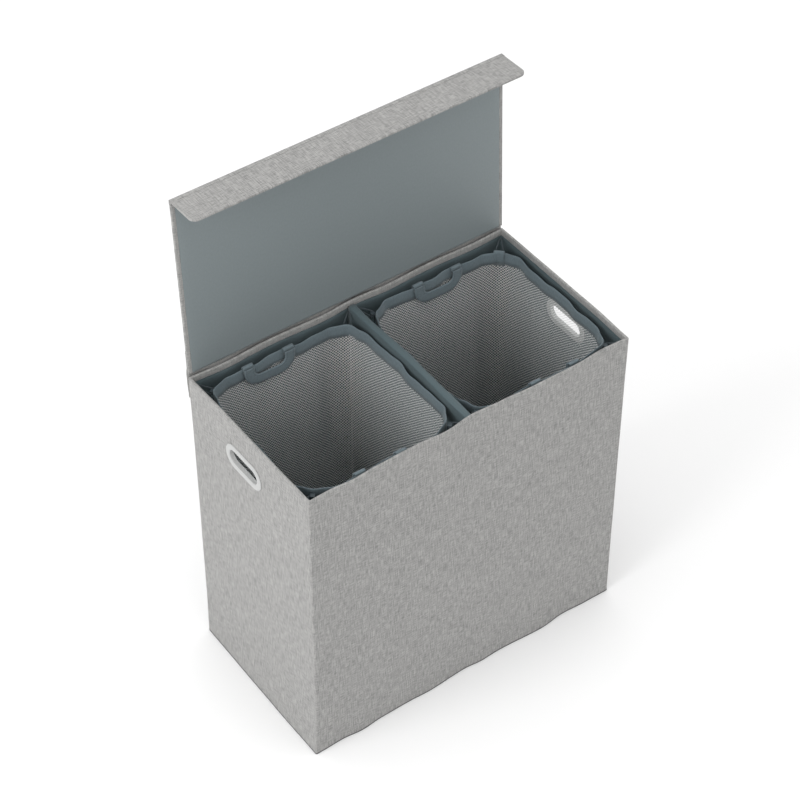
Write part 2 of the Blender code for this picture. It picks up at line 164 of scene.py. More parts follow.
class HamperColours(bpy.types.PropertyGroup):
    """Colours of the finishes."""

    linen_light: colour_setting("Linen light thread", "Pale threads of the linen", "#ABAAA8")
    linen_dark: colour_setting("Linen dark thread", "Grey threads of the linen", "#797978")
    lining: colour_setting("Lid lining", "Slate lining of the lid and flap", "#7C8587")
    box_lining: colour_setting("Box lining", "Slate lining of the box and divider", "#4E5D61")
    webbing: colour_setting("Webbing", "Slate trim, handles and tabs", "#69777D")
    net: colour_setting("Net", "Yarn of the net", "#F4F7F4")
    ring: colour_setting("Rings", "Hand-hold rings", "#B0B1B0")
    hook: colour_setting("Hooks", "Liner hooks", "#3C464B")
    thread: colour_setting("Thread", "Sewing thread on the linen", "#A9A8A5")
    dark_thread: colour_setting("Dark thread", "Sewing thread on the slate cloth", "#4A575D")
    board: colour_setting("Board", "Pressed board in the walls", "#A5927A")
    # The underside colour also colours the strip round the foot, where its dark grey is painted shade of the
    # folded hem
    underside: colour_setting("Underside", "Cloth under the base", "#4E4F50")


# Meshes


def along(knots, places):
    """A smooth line through (place, value) knots, both in millimetres, read at places in metres."""
    at = np.asarray(places, float) / MM
    x = np.array([knot[0] for knot in knots], float)
    y = np.array([knot[1] for knot in knots], float)
    i = np.clip(np.searchsorted(x, at) - 1, 0, len(x) - 2)
    t = np.clip((at - x[i]) / (x[i + 1] - x[i]), 0, 1)
    t = t * t * (3 - 2 * t)
    return (y[i] * (1 - t) + y[i + 1] * t) * MM


def fade(value, start, end):
    """0 at start, 1 at end, smooth between."""
    t = np.clip((np.asarray(value, float) - start) / (end - start), 0, 1)
    return t * t * (3 - 2 * t)


def sway(points):
    """Moves points of the box with its cloth: the rims and hems bow in and out between the corners."""
    points = np.array(points, float)
    x, y, z = points[..., 0], points[..., 1], points[..., 2]
    rim = fade(z, TOP - RIM_SWAY, TOP)
    hem = 1 - fade(z, 0.0, HEM_SWAY)
    front = fade(-y, *WALL_SKIN)
    back = fade(y, *WALL_SKIN)
    left = fade(-x, *SIDE_SKIN)
    right = fade(x, *SIDE_SKIN)
    drape = 0.35 * MM * np.sin(x * 31 + 1.3) * np.sin(z * 17 + 0.4)
    moved_y = front * (rim * along(FRONT_RIM_IN, x) - hem * along(FRONT_HEM_OUT, x) - np.abs(drape))
    moved_y += back * (hem * along(BACK_HEM_OUT, x) - rim * along(BACK_RIM_IN, x) + np.abs(drape))
    sides = 0.35 * MM * np.abs(np.sin(y * 29 + 0.8) * np.sin(z * 15 + 2.0))
    moved_x = right * (rim * along(RIGHT_RIM_OUT, y) + hem * along(RIGHT_HEM_OUT, y) + sides)
    moved_x -= left * (rim * along(LEFT_RIM_OUT, y) + hem * along(LEFT_HEM_OUT, y) + sides)
    points[..., 0] = x + moved_x
    points[..., 1] = y + moved_y
    return points


def cloth_mesh(name, points, weave, ring=False, flip=False):
    """A mesh through a grid of points, with the cloth's own flat coordinates, in metres, as its UV map."""
    rows, columns = points.shape[:2]
    count = columns if ring else columns - 1
    r, c = np.meshgrid(np.arange(rows - 1), np.arange(count), indexing="ij")
    after = (c + 1) % columns
    order = (0, 3, 2, 1) if flip else (0, 1, 2, 3)
    corners = ((r, c, c), (r, after, c + 1), (r + 1, after, c + 1), (r + 1, c, c))
    quads = np.stack([corners[k][0] * columns + corners[k][1] for k in order], -1).reshape(-1, 4)
    flat = np.stack([weave[corners[k][0], corners[k][2]] for k in order], -2).reshape(-1, 2)
    data = bpy.data.meshes.new(name)
    data.from_pydata(points.reshape(-1, 3).tolist(), [], quads.tolist())
    data.uv_layers.new(name="weave").data.foreach_set("uv", flat.astype(np.float32).ravel())
    data.shade_smooth()
    return data


def weave_of(points, ring=False):
    """Flat coordinates of a grid from the lengths along its middle row and column."""
    rows, columns = points.shape[:2]
    line = points[rows // 2]
    if ring:
        line = np.concatenate([line, line[:1]])
    across = np.concatenate([[0], np.cumsum(np.linalg.norm(np.diff(line, axis=0), axis=1))])
    up = np.concatenate([[0], np.cumsum(np.linalg.norm(np.diff(points[:, columns // 2], axis=0), axis=1))])
    return np.stack(np.meshgrid(across, up), -1)


def planar_weave(data, axis_u, axis_v):
    """The UV map of a flat piece: its points along two directions."""
    layer = data.uv_layers.get("weave") or data.uv_layers.new(name="weave")
    for loop in data.loops:
        point = data.vertices[loop.vertex_index].co
        layer.data[loop.index].uv = (point.dot(axis_u), point.dot(axis_v))


def piece(name, data, material, body, replaces=(), thick=None, offset=-1.0):
    """Puts a finished mesh in the scene, with a wall of its own if it is a sheet, riding on its body.

    A piece that is still to be cut or moved gets no body here, and rides once it is settled.
    """
    obj = bpy.data.objects.new(name, data)
    bpy.context.scene.collection.objects.link(obj)
    data.materials.clear()
    data.materials.append(material)
    if thick:
        wall = obj.modifiers.new("Thickness", "SOLIDIFY")
        wall.thickness = thick
        wall.offset = offset
        wall.use_rim = True
    if body:
        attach(obj, body)
    if replaces:
        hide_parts(*replaces)
    return obj


def settle(obj):
    """Turns a node tree's or modifier's result into the object's plain mesh."""
    graph = bpy.context.evaluated_depsgraph_get()
    data = bpy.data.meshes.new_from_object(obj.evaluated_get(graph))
    obj.modifiers.clear()
    old = obj.data
    obj.data = data
    if obj.type == "MESH" and old.users == 0:
        bpy.data.meshes.remove(old)
    return obj


def arc(centre, radius, start, end, steps):
    """Points along an arc, its angles in degrees."""
    angles = np.radians(np.linspace(start, end, steps))
    return np.stack([centre[0] + radius * np.cos(angles), centre[1] + radius * np.sin(angles)], -1)


def rounded_rectangle(half_x, half_y, radius, step, arc_steps):
    """A closed line of points round a rectangle, anticlockwise from its right side, straight runs divided.

    The step divides the whole box's sides, so that every ring round the same box has as many points.
    """
    counts = [max(2, round(2 * side / step)) for side in (HALF_X, HALF_Y)]
    points = []
    for k, (sx, sy) in enumerate(((1, 1), (-1, 1), (-1, -1), (1, -1))):
        centre = (sx * (half_x - radius), sy * (half_y - radius))
        points.append(arc(centre, radius, 90 * k, 90 * k + 90, arc_steps))
        start = points[-1][-1]
        goal = start * ((-1, 1) if k % 2 == 0 else (1, -1))
        shares = np.linspace(0, 1, counts[k % 2] + 1)[1:-1, None]
        points.append(start + (goal - start) * shares)
    return np.concatenate(points)


# Node trees


def node(tree, kind, inputs=None, **settings):
    """Adds a node with its settings, and with values or links for its inputs."""
    made = tree.nodes.new(kind)
    for key, value in settings.items():
        setattr(made, key, value)
    for key, value in (inputs or {}).items():
        if isinstance(value, bpy.types.NodeSocket):
            tree.links.new(value, made.inputs[key])
        else:
            made.inputs[key].default_value = value
    return made


def new_material(name, roughness, sheen=0.0, specular=0.5):
    """A material with its tree and its shader."""
    made = bpy.data.materials.new(name)
    made.use_nodes = True
    shader = made.node_tree.nodes["Principled BSDF"]
    shader.inputs["Roughness"].default_value = roughness
    shader.inputs["Sheen Weight"].default_value = sheen
    shader.inputs["Specular IOR Level"].default_value = specular
    return made, made.node_tree, shader


def streaks(tree, coordinates, width, length, seed, turned=False):
    """Noise drawn out along the threads: width and length are one streak's size in metres."""
    scale = (1 / width, 1 / length, 1) if not turned else (1 / length, 1 / width, 1)
    shift = (seed, seed, 0)
    place = node(tree, "ShaderNodeMapping", {"Vector": coordinates, "Scale": scale, "Location": shift})
    grain = node(
        tree, "ShaderNodeTexNoise", {"Vector": place.outputs[0], "Scale": 1.0, "Detail": 3.0, "Roughness": 0.6}
    )
    return grain.outputs["Fac"]


def colour_mix(tree, factor, first, second):
    """A colour between two others. Its sockets share their names with other kinds, so they go by place."""
    mix = node(tree, "ShaderNodeMix", {0: factor}, data_type="RGBA")
    mix.inputs[6].default_value = (*first, 1)
    mix.inputs[7].default_value = (*second, 1)
    return mix.outputs[2]


def thread_height(tree, coordinates, pitch):
    """Plain weave: two sets of threads, pitch apart, over and under each other."""
    parts = node(tree, "ShaderNodeSeparateXYZ", {0: coordinates})
    waves = []
    for axis in ("X", "Y"):
        turn = node(
            tree, "ShaderNodeMath", {0: parts.outputs[axis], 1: math.pi / pitch}, operation="MULTIPLY"
        ).outputs[0]
        waves.append(node(tree, "ShaderNodeMath", {0: turn}, operation="SINE").outputs[0])
    return node(tree, "ShaderNodeMath", {0: waves[0], 1: waves[1]}, operation="MULTIPLY").outputs[0]


def linen_material(colours):
    """Slubbed plain-weave linen. Pale and grey threads of uneven thickness give short crossed streaks.

    The real thread is 0.5 mm. Its slubs are drawn 1.4 mm wide, as they would not show at all otherwise.
    """
    made, tree, shader = new_material("slubbed_linen", 0.92, sheen=0.12, specular=0.2)
    weave = node(tree, "ShaderNodeUVMap", uv_map="weave").outputs[0]
    warp = streaks(tree, weave, 1.4 * MM, 22 * MM, 3.0)
    weft = streaks(tree, weave, 1.4 * MM, 12 * MM, 11.0, turned=True)
    mottle = streaks(tree, weave, 45 * MM, 60 * MM, 5.0)
    crossed = node(tree, "ShaderNodeMath", {0: warp, 1: weft}, operation="ADD").outputs[0]
    cloudy = node(tree, "ShaderNodeMath", {0: mottle, 1: 0.12, 2: crossed}, operation="MULTIPLY_ADD").outputs[0]
    share = node(tree, "ShaderNodeMapRange", {"Value": cloudy, "From Min": 0.82, "From Max": 1.30})
    colour = colour_mix(tree, share.outputs[0], colours.linen_dark, colours.linen_light)
    tree.links.new(colour, shader.inputs["Base Color"])
    threads = thread_height(tree, weave, 1.2 * MM)
    height = node(tree, "ShaderNodeMath", {0: crossed, 1: threads}, operation="ADD").outputs[0]
    bump = node(tree, "ShaderNodeBump", {"Height": height, "Strength": 0.22, "Distance": 0.25 * MM})
    tree.links.new(bump.outputs[0], shader.inputs["Normal"])
    return made


def lining_material(name, colour, roughness):
    """Spunbonded polypropylene. Pressed fibres give a faint dimple pattern and a soft satin gloss."""
    made, tree, shader = new_material(name, roughness, sheen=0.15, specular=0.4)
    weave = node(tree, "ShaderNodeUVMap", uv_map="weave").outputs[0]
    fibres = streaks(tree, weave, 3 * MM, 5 * MM, 2.0)
    spread = node(tree, "ShaderNodeMapRange", {"Value": fibres, "From Min": 0.3, "From Max": 0.7})
    dark = [channel * 0.93 for channel in colour]
    tree.links.new(colour_mix(tree, spread.outputs[0], dark, colour), shader.inputs["Base Color"])
    dimples = thread_height(tree, weave, 1.6 * MM)
    height = node(tree, "ShaderNodeMath", {0: fibres, 1: 1.5, 2: dimples}, operation="MULTIPLY_ADD").outputs[0]
    bump = node(tree, "ShaderNodeBump", {"Height": height, "Strength": 0.08, "Distance": 0.2 * MM})
    tree.links.new(bump.outputs[0], shader.inputs["Normal"])
    return made


def webbing_material(colours):
    """Woven polyester tape. Its ribs run across, 1.6 mm apart, so it looks finely lined."""
    made, tree, shader = new_material("ribbed_webbing", 0.7, sheen=0.2, specular=0.35)
    weave = node(tree, "ShaderNodeUVMap", uv_map="weave").outputs[0]
    parts = node(tree, "ShaderNodeSeparateXYZ", {0: weave})
    per_metre = 2 * math.pi / (1.6 * MM)
    turn = node(tree, "ShaderNodeMath", {0: parts.outputs["X"], 1: per_metre}, operation="MULTIPLY")
    ribs = node(tree, "ShaderNodeMath", {0: turn.outputs[0]}, operation="SINE").outputs[0]
    fuzz = streaks(tree, weave, 2 * MM, 6 * MM, 4.0)
    share = node(tree, "ShaderNodeMath", {0: ribs, 1: 0.12, 2: fuzz}, operation="MULTIPLY_ADD").outputs[0]
    spread = node(tree, "ShaderNodeMapRange", {"Value": share, "From Min": 0.2, "From Max": 0.75})
    dark = [channel * 0.72 for channel in colours.webbing]
    tree.links.new(colour_mix(tree, spread.outputs[0], dark, colours.webbing), shader.inputs["Base Color"])
    bump = node(tree, "ShaderNodeBump", {"Height": ribs, "Strength": 0.3, "Distance": 0.25 * MM})
    tree.links.new(bump.outputs[0], shader.inputs["Normal"])
    return made


def plain_material(name, colour, roughness, grain, depth, contrast, sheen):
    """A material of one colour with a fine grain, for yarn, thread, moulded parts and board.

    Grain is the size of its mottling and depth that of its relief, in metres.
    """
    made, tree, shader = new_material(name, roughness, sheen)
    place = node(tree, "ShaderNodeTexCoord").outputs["Object"]
    noise = node(
        tree, "ShaderNodeTexNoise", {"Vector": place, "Scale": 1 / grain, "Detail": 4.0, "Roughness": 0.55}
    ).outputs["Fac"]
    dark = [channel * (1 - contrast) for channel in colour]
    light = [min(1.0, channel * (1 + contrast)) for channel in colour]
    tree.links.new(colour_mix(tree, noise, dark, light), shader.inputs["Base Color"])
    bump = node(tree, "ShaderNodeBump", {"Height": noise, "Strength": 0.4, "Distance": depth})
    tree.links.new(bump.outputs[0], shader.inputs["Normal"])
    return made


FINISHES = {}


def make_finishes(colours):
    """Every finish of the hamper, by the record's slot names and the sewing threads."""
    FINISHES["linen"] = linen_material(colours)
    FINISHES["lining"] = lining_material("spunbond_lid_lining", colours.lining, 0.5)
    FINISHES["box_lining"] = lining_material("spunbond_box_lining", colours.box_lining, 0.6)
    FINISHES["webbing"] = webbing_material(colours)
    plain = (
        # Knitted polyester yarn: soft and slightly bright where it turns to the light
        ("net", "polyester_net", colours.net, 0.6, 3, 0.1, 0.14, 0.3),
        # Moulded polypropylene: even, satin, pale grey
        ("ring_plastic", "moulded_polypropylene", colours.ring, 0.38, 1.2, 0.02, 0.02, 0.0),
        # Moulded acetal: dark and slightly waxy
        ("hook_plastic", "moulded_acetal", colours.hook, 0.45, 1, 0.02, 0.05, 0.0),
        # Braided elastic cord: dull, with a fine crossed surface
        ("cord", "braided_elastic", colours.hook, 0.75, 0.9, 0.2, 0.3, 0.2),
        # Pressed board: brown, with coarse flecks of fibre
        ("chipboard", "pressed_board", colours.board, 0.9, 4, 0.2, 0.3, 0.0),
        # Needled felt: dark grey, fuzzy; on the strip round the foot this dark grey is painted shade of the
        # folded hem
        ("underside_cloth", "needled_felt_and_hem_shade", colours.underside, 0.95, 2, 0.3, 0.25, 0.0),
        # Twisted polyester thread, matched to the linen and to the slate cloth
        ("thread", "linen_thread", colours.thread, 0.6, 0.6, 0.1, 0.15, 0.2),
        ("dark_thread", "slate_thread", colours.dark_thread, 0.6, 0.6, 0.1, 0.15, 0.0),
    )
    for key, name, colour, roughness, grain, depth, contrast, sheen in plain:
        FINISHES[key] = plain_material(name, colour, roughness, grain * MM, depth * MM, contrast, sheen)


# Geometry Nodes


def new_geometry_tree(name, inputs):
    """A tree with its group input and output, and its named inputs: (name, socket type, default)."""
    tree = bpy.data.node_groups.new(name, "GeometryNodeTree")
    tree.interface.new_socket("Geometry", in_out="INPUT", socket_type="NodeSocketGeometry")
    for label, kind, default in inputs:
        socket = tree.interface.new_socket(label, in_out="INPUT", socket_type=kind)
        if default is not None:
            socket.default_value = default
    tree.interface.new_socket("Geometry", in_out="OUTPUT", socket_type="NodeSocketGeometry")
    return tree, tree.nodes.new("NodeGroupInput"), tree.nodes.new("NodeGroupOutput")


def finish_tree(tree, geometry, material, output):
    """Ends a tree in real geometry with its material."""
    real = node(tree, "GeometryNodeRealizeInstances", {"Geometry": geometry})
    finished = node(tree, "GeometryNodeSetMaterial", {"Geometry": real.outputs[0], "Material": material})
    tree.links.new(finished.outputs[0], output.inputs[0])
    return tree


def lattice_tree():
    """Each face of a mesh becomes a frame with a hole: the diamonds of the net."""
    tree, given, output = new_geometry_tree(
        "net_lattice",
        (("Hole", "NodeSocketFloat", 0.6), ("Material", "NodeSocketMaterial", None)),
    )
    raised = node(
        tree,
        "GeometryNodeExtrudeMesh",
        {"Mesh": given.outputs["Geometry"], "Offset Scale": 0.0, "Individual": True},
        mode="FACES",
    )
    top = raised.outputs["Top"]
    shrunk = node(
        tree,
        "GeometryNodeScaleElements",
        {"Geometry": raised.outputs["Mesh"], "Selection": top, "Scale": given.outputs["Hole"]},
        domain="FACE",
    )
    opened = node(
        tree,
        "GeometryNodeDeleteGeometry",
        {"Geometry": shrunk.outputs[0], "Selection": top},
        domain="FACE",
        mode="ONLY_FACE",
    )
    return finish_tree(tree, opened.outputs[0], given.outputs["Material"], output)


def stitch_tree():
    """A row of short thread stitches along each line of a mesh."""
    tree, given, output = new_geometry_tree(
        "stitch_row",
        (
            ("Pitch", "NodeSocketFloat", 3.6 * MM),
            ("Length", "NodeSocketFloat", 2.6 * MM),
            ("Thread", "NodeSocketFloat", 0.5 * MM),
            ("Material", "NodeSocketMaterial", None),
        ),
    )
    line = node(tree, "GeometryNodeMeshToCurve", {"Mesh": given.outputs["Geometry"]})
    spacing = {"Curve": line.outputs[0], "Length": given.outputs["Pitch"]}
    spaced = node(tree, "GeometryNodeResampleCurve", spacing, mode="LENGTH")
    half = node(tree, "ShaderNodeMath", {0: given.outputs["Thread"], 1: 0.5}, operation="MULTIPLY").outputs[0]
    bead = node(tree, "GeometryNodeMeshUVSphere", {"Segments": 6, "Rings": 4, "Radius": half})
    share = node(
        tree, "ShaderNodeMath", {0: given.outputs["Length"], 1: given.outputs["Thread"]}, operation="DIVIDE"
    ).outputs[0]
    size = node(tree, "ShaderNodeCombineXYZ", {"X": 1.0, "Y": 1.0, "Z": share})
    drawn = node(tree, "GeometryNodeTransform", {"Geometry": bead.outputs[0], "Scale": size.outputs[0]})
    tangent = node(tree, "GeometryNodeInputTangent")
    turn = node(tree, "FunctionNodeAlignRotationToVector", {"Vector": tangent.outputs[0]}, axis="Z")
    placed = node(
        tree,
        "GeometryNodeInstanceOnPoints",
        {"Points": spaced.outputs[0], "Instance": drawn.outputs[0], "Rotation": turn.outputs[0]},
    )
    return finish_tree(tree, placed.outputs[0], given.outputs["Material"], output)


def run_tree(obj, tree, values):
    """Runs a tree on an object, with its inputs set by their identifiers, and keeps the result as a mesh."""
    modifier = obj.modifiers.new(tree.name, "NODES")
    modifier.node_group = tree
    for item in tree.interface.items_tree:
        if item.item_type == "SOCKET" and item.in_out == "INPUT" and item.name in values:
            modifier[item.identifier] = values[item.name]
    return settle(obj)


def stitches(name, lines, thread, body):
    """Rows of stitches along lists of points."""
    sizes = bpy.context.scene.hamper_sizes
    points, edges = [], []
    for line in lines:
        start = len(points)
        points += [tuple(point) for point in line]
        edges += [(start + i, start + i + 1) for i in range(len(line) - 1)]
    data = bpy.data.meshes.new(name)
    data.from_pydata(points, edges, [])
    obj = bpy.data.objects.new(name, data)
    bpy.context.scene.collection.objects.link(obj)
    tree = bpy.data.node_groups.get("stitch_row") or stitch_tree()
    values = {
        "Pitch": sizes.stitch_pitch,
        "Length": sizes.stitch,
        "Thread": sizes.thread,
        "Material": FINISHES[thread],
    }
    run_tree(obj, tree, values)
    obj.data.shade_smooth()
    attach(obj, body)


# The box


def slot_cutter(side, room):
    """A prism with round ends through a side wall, where its hand-hold goes."""
    low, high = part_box(f"{side}_grommet_inner")
    ring_low, ring_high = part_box(f"{side}_grommet_outer")
    centre = (low + high) / 2
    half_y, half_z = hold_half_sizes(side)
    line = stadium_line(half_y + room, half_z + room, 12)
    bm = bmesh.new()
    rows = []
    for x in (ring_low.x - 0.02, ring_high.x + 0.02):
        rows.append([bm.verts.new((x, centre.y + y, centre.z + z)) for y, z in line])
    bm.faces.new(rows[0])
    bm.faces.new(rows[1])
    for i in range(len(line)):
        j = (i + 1) % len(line)
        bm.faces.new((rows[0][i], rows[0][j], rows[1][j], rows[1][i]))
    bmesh.ops.recalc_face_normals(bm, faces=bm.faces)
    data = bpy.data.meshes.new("slot_cutter")
    bm.to_mesh(data)
    bm.free()
    cutter = bpy.data.objects.new("slot_cutter", data)
    bpy.context.scene.collection.objects.link(cutter)
    return cutter


def hold_half_sizes(side):
    """Half the length and half the height of a hand-hold's slot."""
    low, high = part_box(f"{side}_grommet_outer")
    return (high.y - low.y) / 2 - RING_FLANGE, (high.z - low.z) / 2 - RING_FLANGE


def stadium_line(half_length, half_height, steps):
    """Points round a slot with round ends."""
    reach = half_length - half_height
    right = arc((reach, 0), half_height, -90, 90, steps)
    left = arc((-reach, 0), half_height, 90, 270, steps)
    return np.concatenate([right, left])


def cut_slots(obj, room=1.9 * MM):
    """Cuts both hand-holds' slots through an object's mesh."""
    for side in SIDES:
        cutter = slot_cutter(side, room)
        cut = obj.modifiers.new("Slot", "BOOLEAN")
        cut.object = cutter
        cut.solver = "EXACT"
        settle(obj)
        bpy.data.objects.remove(cutter)


def sway_mesh(data):
    """Moves a finished mesh of the box with its cloth."""
    points = np.zeros(len(data.vertices) * 3, np.float32)
    data.vertices.foreach_get("co", points)
    moved = sway(points.reshape(-1, 3))
    data.vertices.foreach_set("co", moved.astype(np.float32).ravel())
    data.update()


def box_cloth():
    """The linen round the box: up the walls, over the rim and a little way down inside."""
    sizes = bpy.context.scene.hamper_sizes
    roll = RIM_WIDTH / 2
    over = arc((0, 0), roll, 180, 0, 9)
    profile = [(5 * MM, 0.9 * MM), (2 * MM, 0.8 * MM), (0.5 * MM, 1.1 * MM), (0, 2.2 * MM)]
    profile += [(0, z) for z in np.linspace(6 * MM, TOP - roll - 4 * MM, 62)]
    profile += [(roll + u, TOP - roll + v) for u, v in over]
    profile += [(RIM_WIDTH, z) for z in (TOP - 5 * MM, TOP - 8 * MM, RIM_LOW.z + 0.6 * MM)]
    profile += [(RIM_WIDTH - 0.3 * MM, RIM_LOW.z)]
    rows = []
    for inset, z in profile:
        radius = max(sizes.corner - inset * 0.3, 0.8 * MM)
        line = rounded_rectangle(HALF_X - inset, HALF_Y - inset, radius, 7 * MM, 5)
        rows.append(np.column_stack([line, np.full(len(line), z)]))
    return np.stack(rows)


def make_box_cloth():
    """The outer linen, one piece round all four walls, with its two slots cut."""
    points = box_cloth()
    data = cloth_mesh("box_cloth", points, weave_of(points, ring=True), ring=True)
    names = [f"{wall}_cover" for wall in (*ENDS, *SIDES)] + ["rim_facing"]
    thick = bpy.context.scene.hamper_sizes.cloth
    obj = settle(piece("box_cloth", data, FINISHES["linen"], None, names, thick))
    cut_slots(obj)
    sway_mesh(obj.data)
    obj.data.shade_smooth()
    obj.data.set_sharp_from_angle(angle=math.radians(50))
    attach(obj, "root")


def make_hem_painted_shade():
    """A thin dark strip round the foot of the box: the folded hem's edge is real, and its shade is painted in
    the felt's dark grey.
    """
    profile = [(1.2, 0.2), (-0.15, 0.15), (-0.35, 0.6), (-0.35, 1.5), (-0.15, 1.9)]
    rows = []
    for inset, z in profile:
        line = rounded_rectangle(HALF_X - inset * MM, HALF_Y - inset * MM, 2.8 * MM, 7 * MM, 5)
        rows.append(np.column_stack([line, np.full(len(line), z * MM)]))
    points = sway(np.stack(rows))
    data = cloth_mesh("hem_painted_shade", points, weave_of(points, ring=True), ring=True)
    # The felt's dark grey here is painted shade along the folded hem
    piece("hem_painted_shade", data, FINISHES["underside_cloth"], "root", thick=0.3 * MM)


def make_box_lining():
    """The slate lining inside the four walls, tucked under the rim's linen."""
    rows = []
    for z in np.linspace(BASE_TOP + 0.5 * MM, RIM_LOW.z + 3 * MM, 56):
        line = rounded_rectangle(HALF_X - WALL_DEPTH, HALF_Y - WALL_DEPTH, 2 * MM, 8 * MM, 4)
        pucker = 0.6 * MM * fade(z, TOP - 0.14, TOP - 0.02) * np.sin(line[:, :1] * 62 + 1.0) ** 2
        line = line - np.sign(line) * np.array([[0, 1]]) * pucker
        rows.append(np.column_stack([line, np.full(len(line), z)]))
    points = np.stack(rows)
    data = cloth_mesh("box_lining", points, weave_of(points, ring=True), ring=True, flip=True)
    names = [f"{wall}_lining" for wall in (*ENDS, *SIDES)]
    thick = bpy.context.scene.hamper_sizes.lining
    obj = settle(piece("box_lining", data, FINISHES["box_lining"], None, names, thick))
    cut_slots(obj)
    sway_mesh(obj.data)
    obj.data.shade_smooth()
    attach(obj, "root")


def plate(name, point, across, up, thick, material, replaces):
    """A thin plate of the box through a grid of points, moved with the cloth that holds it."""
    points = sway(np.array([[point(a, b) for a in across] for b in up]))
    data = cloth_mesh(name, points, weave_of(points))
    return settle(piece(name, data, FINISHES[material], None, replaces, thick, 0.0))


def make_boards():
    """The pressed boards in the walls, bowed with the cloth that holds them."""
    step = 8 * MM
    for wall in (*ENDS, *SIDES):
        low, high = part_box(f"{wall}_board")
        middle = (low + high) / 2
        axis = 0 if wall in ENDS else 1

        def point(a, b):
            return (a, middle.y, b) if axis == 0 else (middle.x, a, b)

        across = np.linspace(low[axis] + 1 * MM, high[axis] - 1 * MM, round((high[axis] - low[axis]) / step))
        up = np.linspace(low.z, high.z - 1 * MM, round((high.z - low.z) / step))
        thick = (high - low)[1 - axis] * 0.6
        name = f"{wall}_wall_board"
        board = plate(name, point, across, up, thick, "chipboard", [f"{wall}_board"])
        if wall in SIDES:
            cut_slots(board, 2 * MM)
        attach(board, "root")


def make_underside():
    """The felt under the base, cut to follow the hem."""
    low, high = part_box("bottom_cover")
    height = (low.z + high.z) / 2
    thick = (high.z - low.z) * 0.9

    def point(a, b):
        return a, b, height

    across = np.linspace(low.x + 1 * MM, high.x - 1 * MM, 90)
    up = np.linspace(low.y + 1 * MM, high.y - 1 * MM, 48)
    felt = "underside_cloth"
    obj = plate("underside", point, across, up, thick, felt, ["bottom_cover"])
    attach(obj, "root")


def make_base_cloth():
    """The lining glued to the loose base board, with a slight unevenness."""
    low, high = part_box("base_lining")
    rows = []
    for y in np.linspace(low.y + 0.5 * MM, high.y - 0.5 * MM, 34):
        x = np.linspace(low.x + 0.5 * MM, high.x - 0.5 * MM, 62)
        z = (low.z + high.z) / 2 + 0.12 * MM * np.sin(x * 37) * math.sin(y * 41 + 1)
        rows.append(np.column_stack([x, np.full(len(x), y), z]))
    points = np.stack(rows)
    data = cloth_mesh("base_cloth", points, weave_of(points))
    obj = piece("base_cloth", data, FINISHES["box_lining"], "root", ["base_lining"], 0.5 * MM, 0.0)


def divider_shift(y, z, top):
    """How the soft divider leans and how its top dips, at a place along it."""
    rise = fade(z, 0.35, top)
    lean = 1.2 * MM * np.sin(y * 21 + 2.0)
    dip = 0.9 * MM * np.sin(y * 34 + 0.5) - 1.4 * MM
    return lean * rise, dip * rise


def make_divider():
    """The padded divider between the front and back walls, cloth over a board."""
    sizes = bpy.context.scene.hamper_sizes
    low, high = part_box("divider_cover")
    half = sizes.divider / 2
    roll = half * 0.55
    profile = [(-half, z) for z in np.linspace(low.z, high.z - roll - 3 * MM, 30)]
    profile += [tuple(p) for p in arc((-half + roll, high.z - roll), roll, 180, 90, 6)]
    profile += [tuple(p) for p in arc((half - roll, high.z - roll), roll, 90, 0, 6)]
    profile += [(half, z) for z in np.linspace(high.z - roll - 3 * MM, low.z, 30)]
    profile = np.array(profile)
    rows = []
    for y in np.linspace(low.y + 0.5 * MM, high.y - 0.5 * MM, 54):
        lean, dip = divider_shift(y, profile[:, 1], high.z)
        swell = 1 + 0.08 * fade(profile[:, 1], high.z - 0.10, high.z - 0.02) * math.sin(y * 47)
        x, z = profile[:, 0] * swell + lean, profile[:, 1] + dip
        rows.append(np.column_stack([x, np.full(len(profile), y), z]))
    points = np.stack(rows)
    data = cloth_mesh("divider_cloth", points, weave_of(points), flip=True)
    lining = FINISHES["box_lining"]
    obj = piece("divider_cloth", data, lining, "root", ["divider_cover"], thick=0.8 * MM)
    board_low, board_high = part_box("divider_board")

    def board_point(y, z):
        lean, dip = divider_shift(y, z, high.z)
        return float(lean), y, z + float(dip)

    across = np.linspace(board_low.y + 1 * MM, board_high.y - 1 * MM, 54)
    up = np.linspace(board_low.z, board_high.z - 1.5 * MM, 60)
    thick = board_high.x - board_low.x
    name = "divider_stiffener"
    board = plate(name, board_point, across, up, thick, "chipboard", ["divider_board"])
    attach(board, "root")


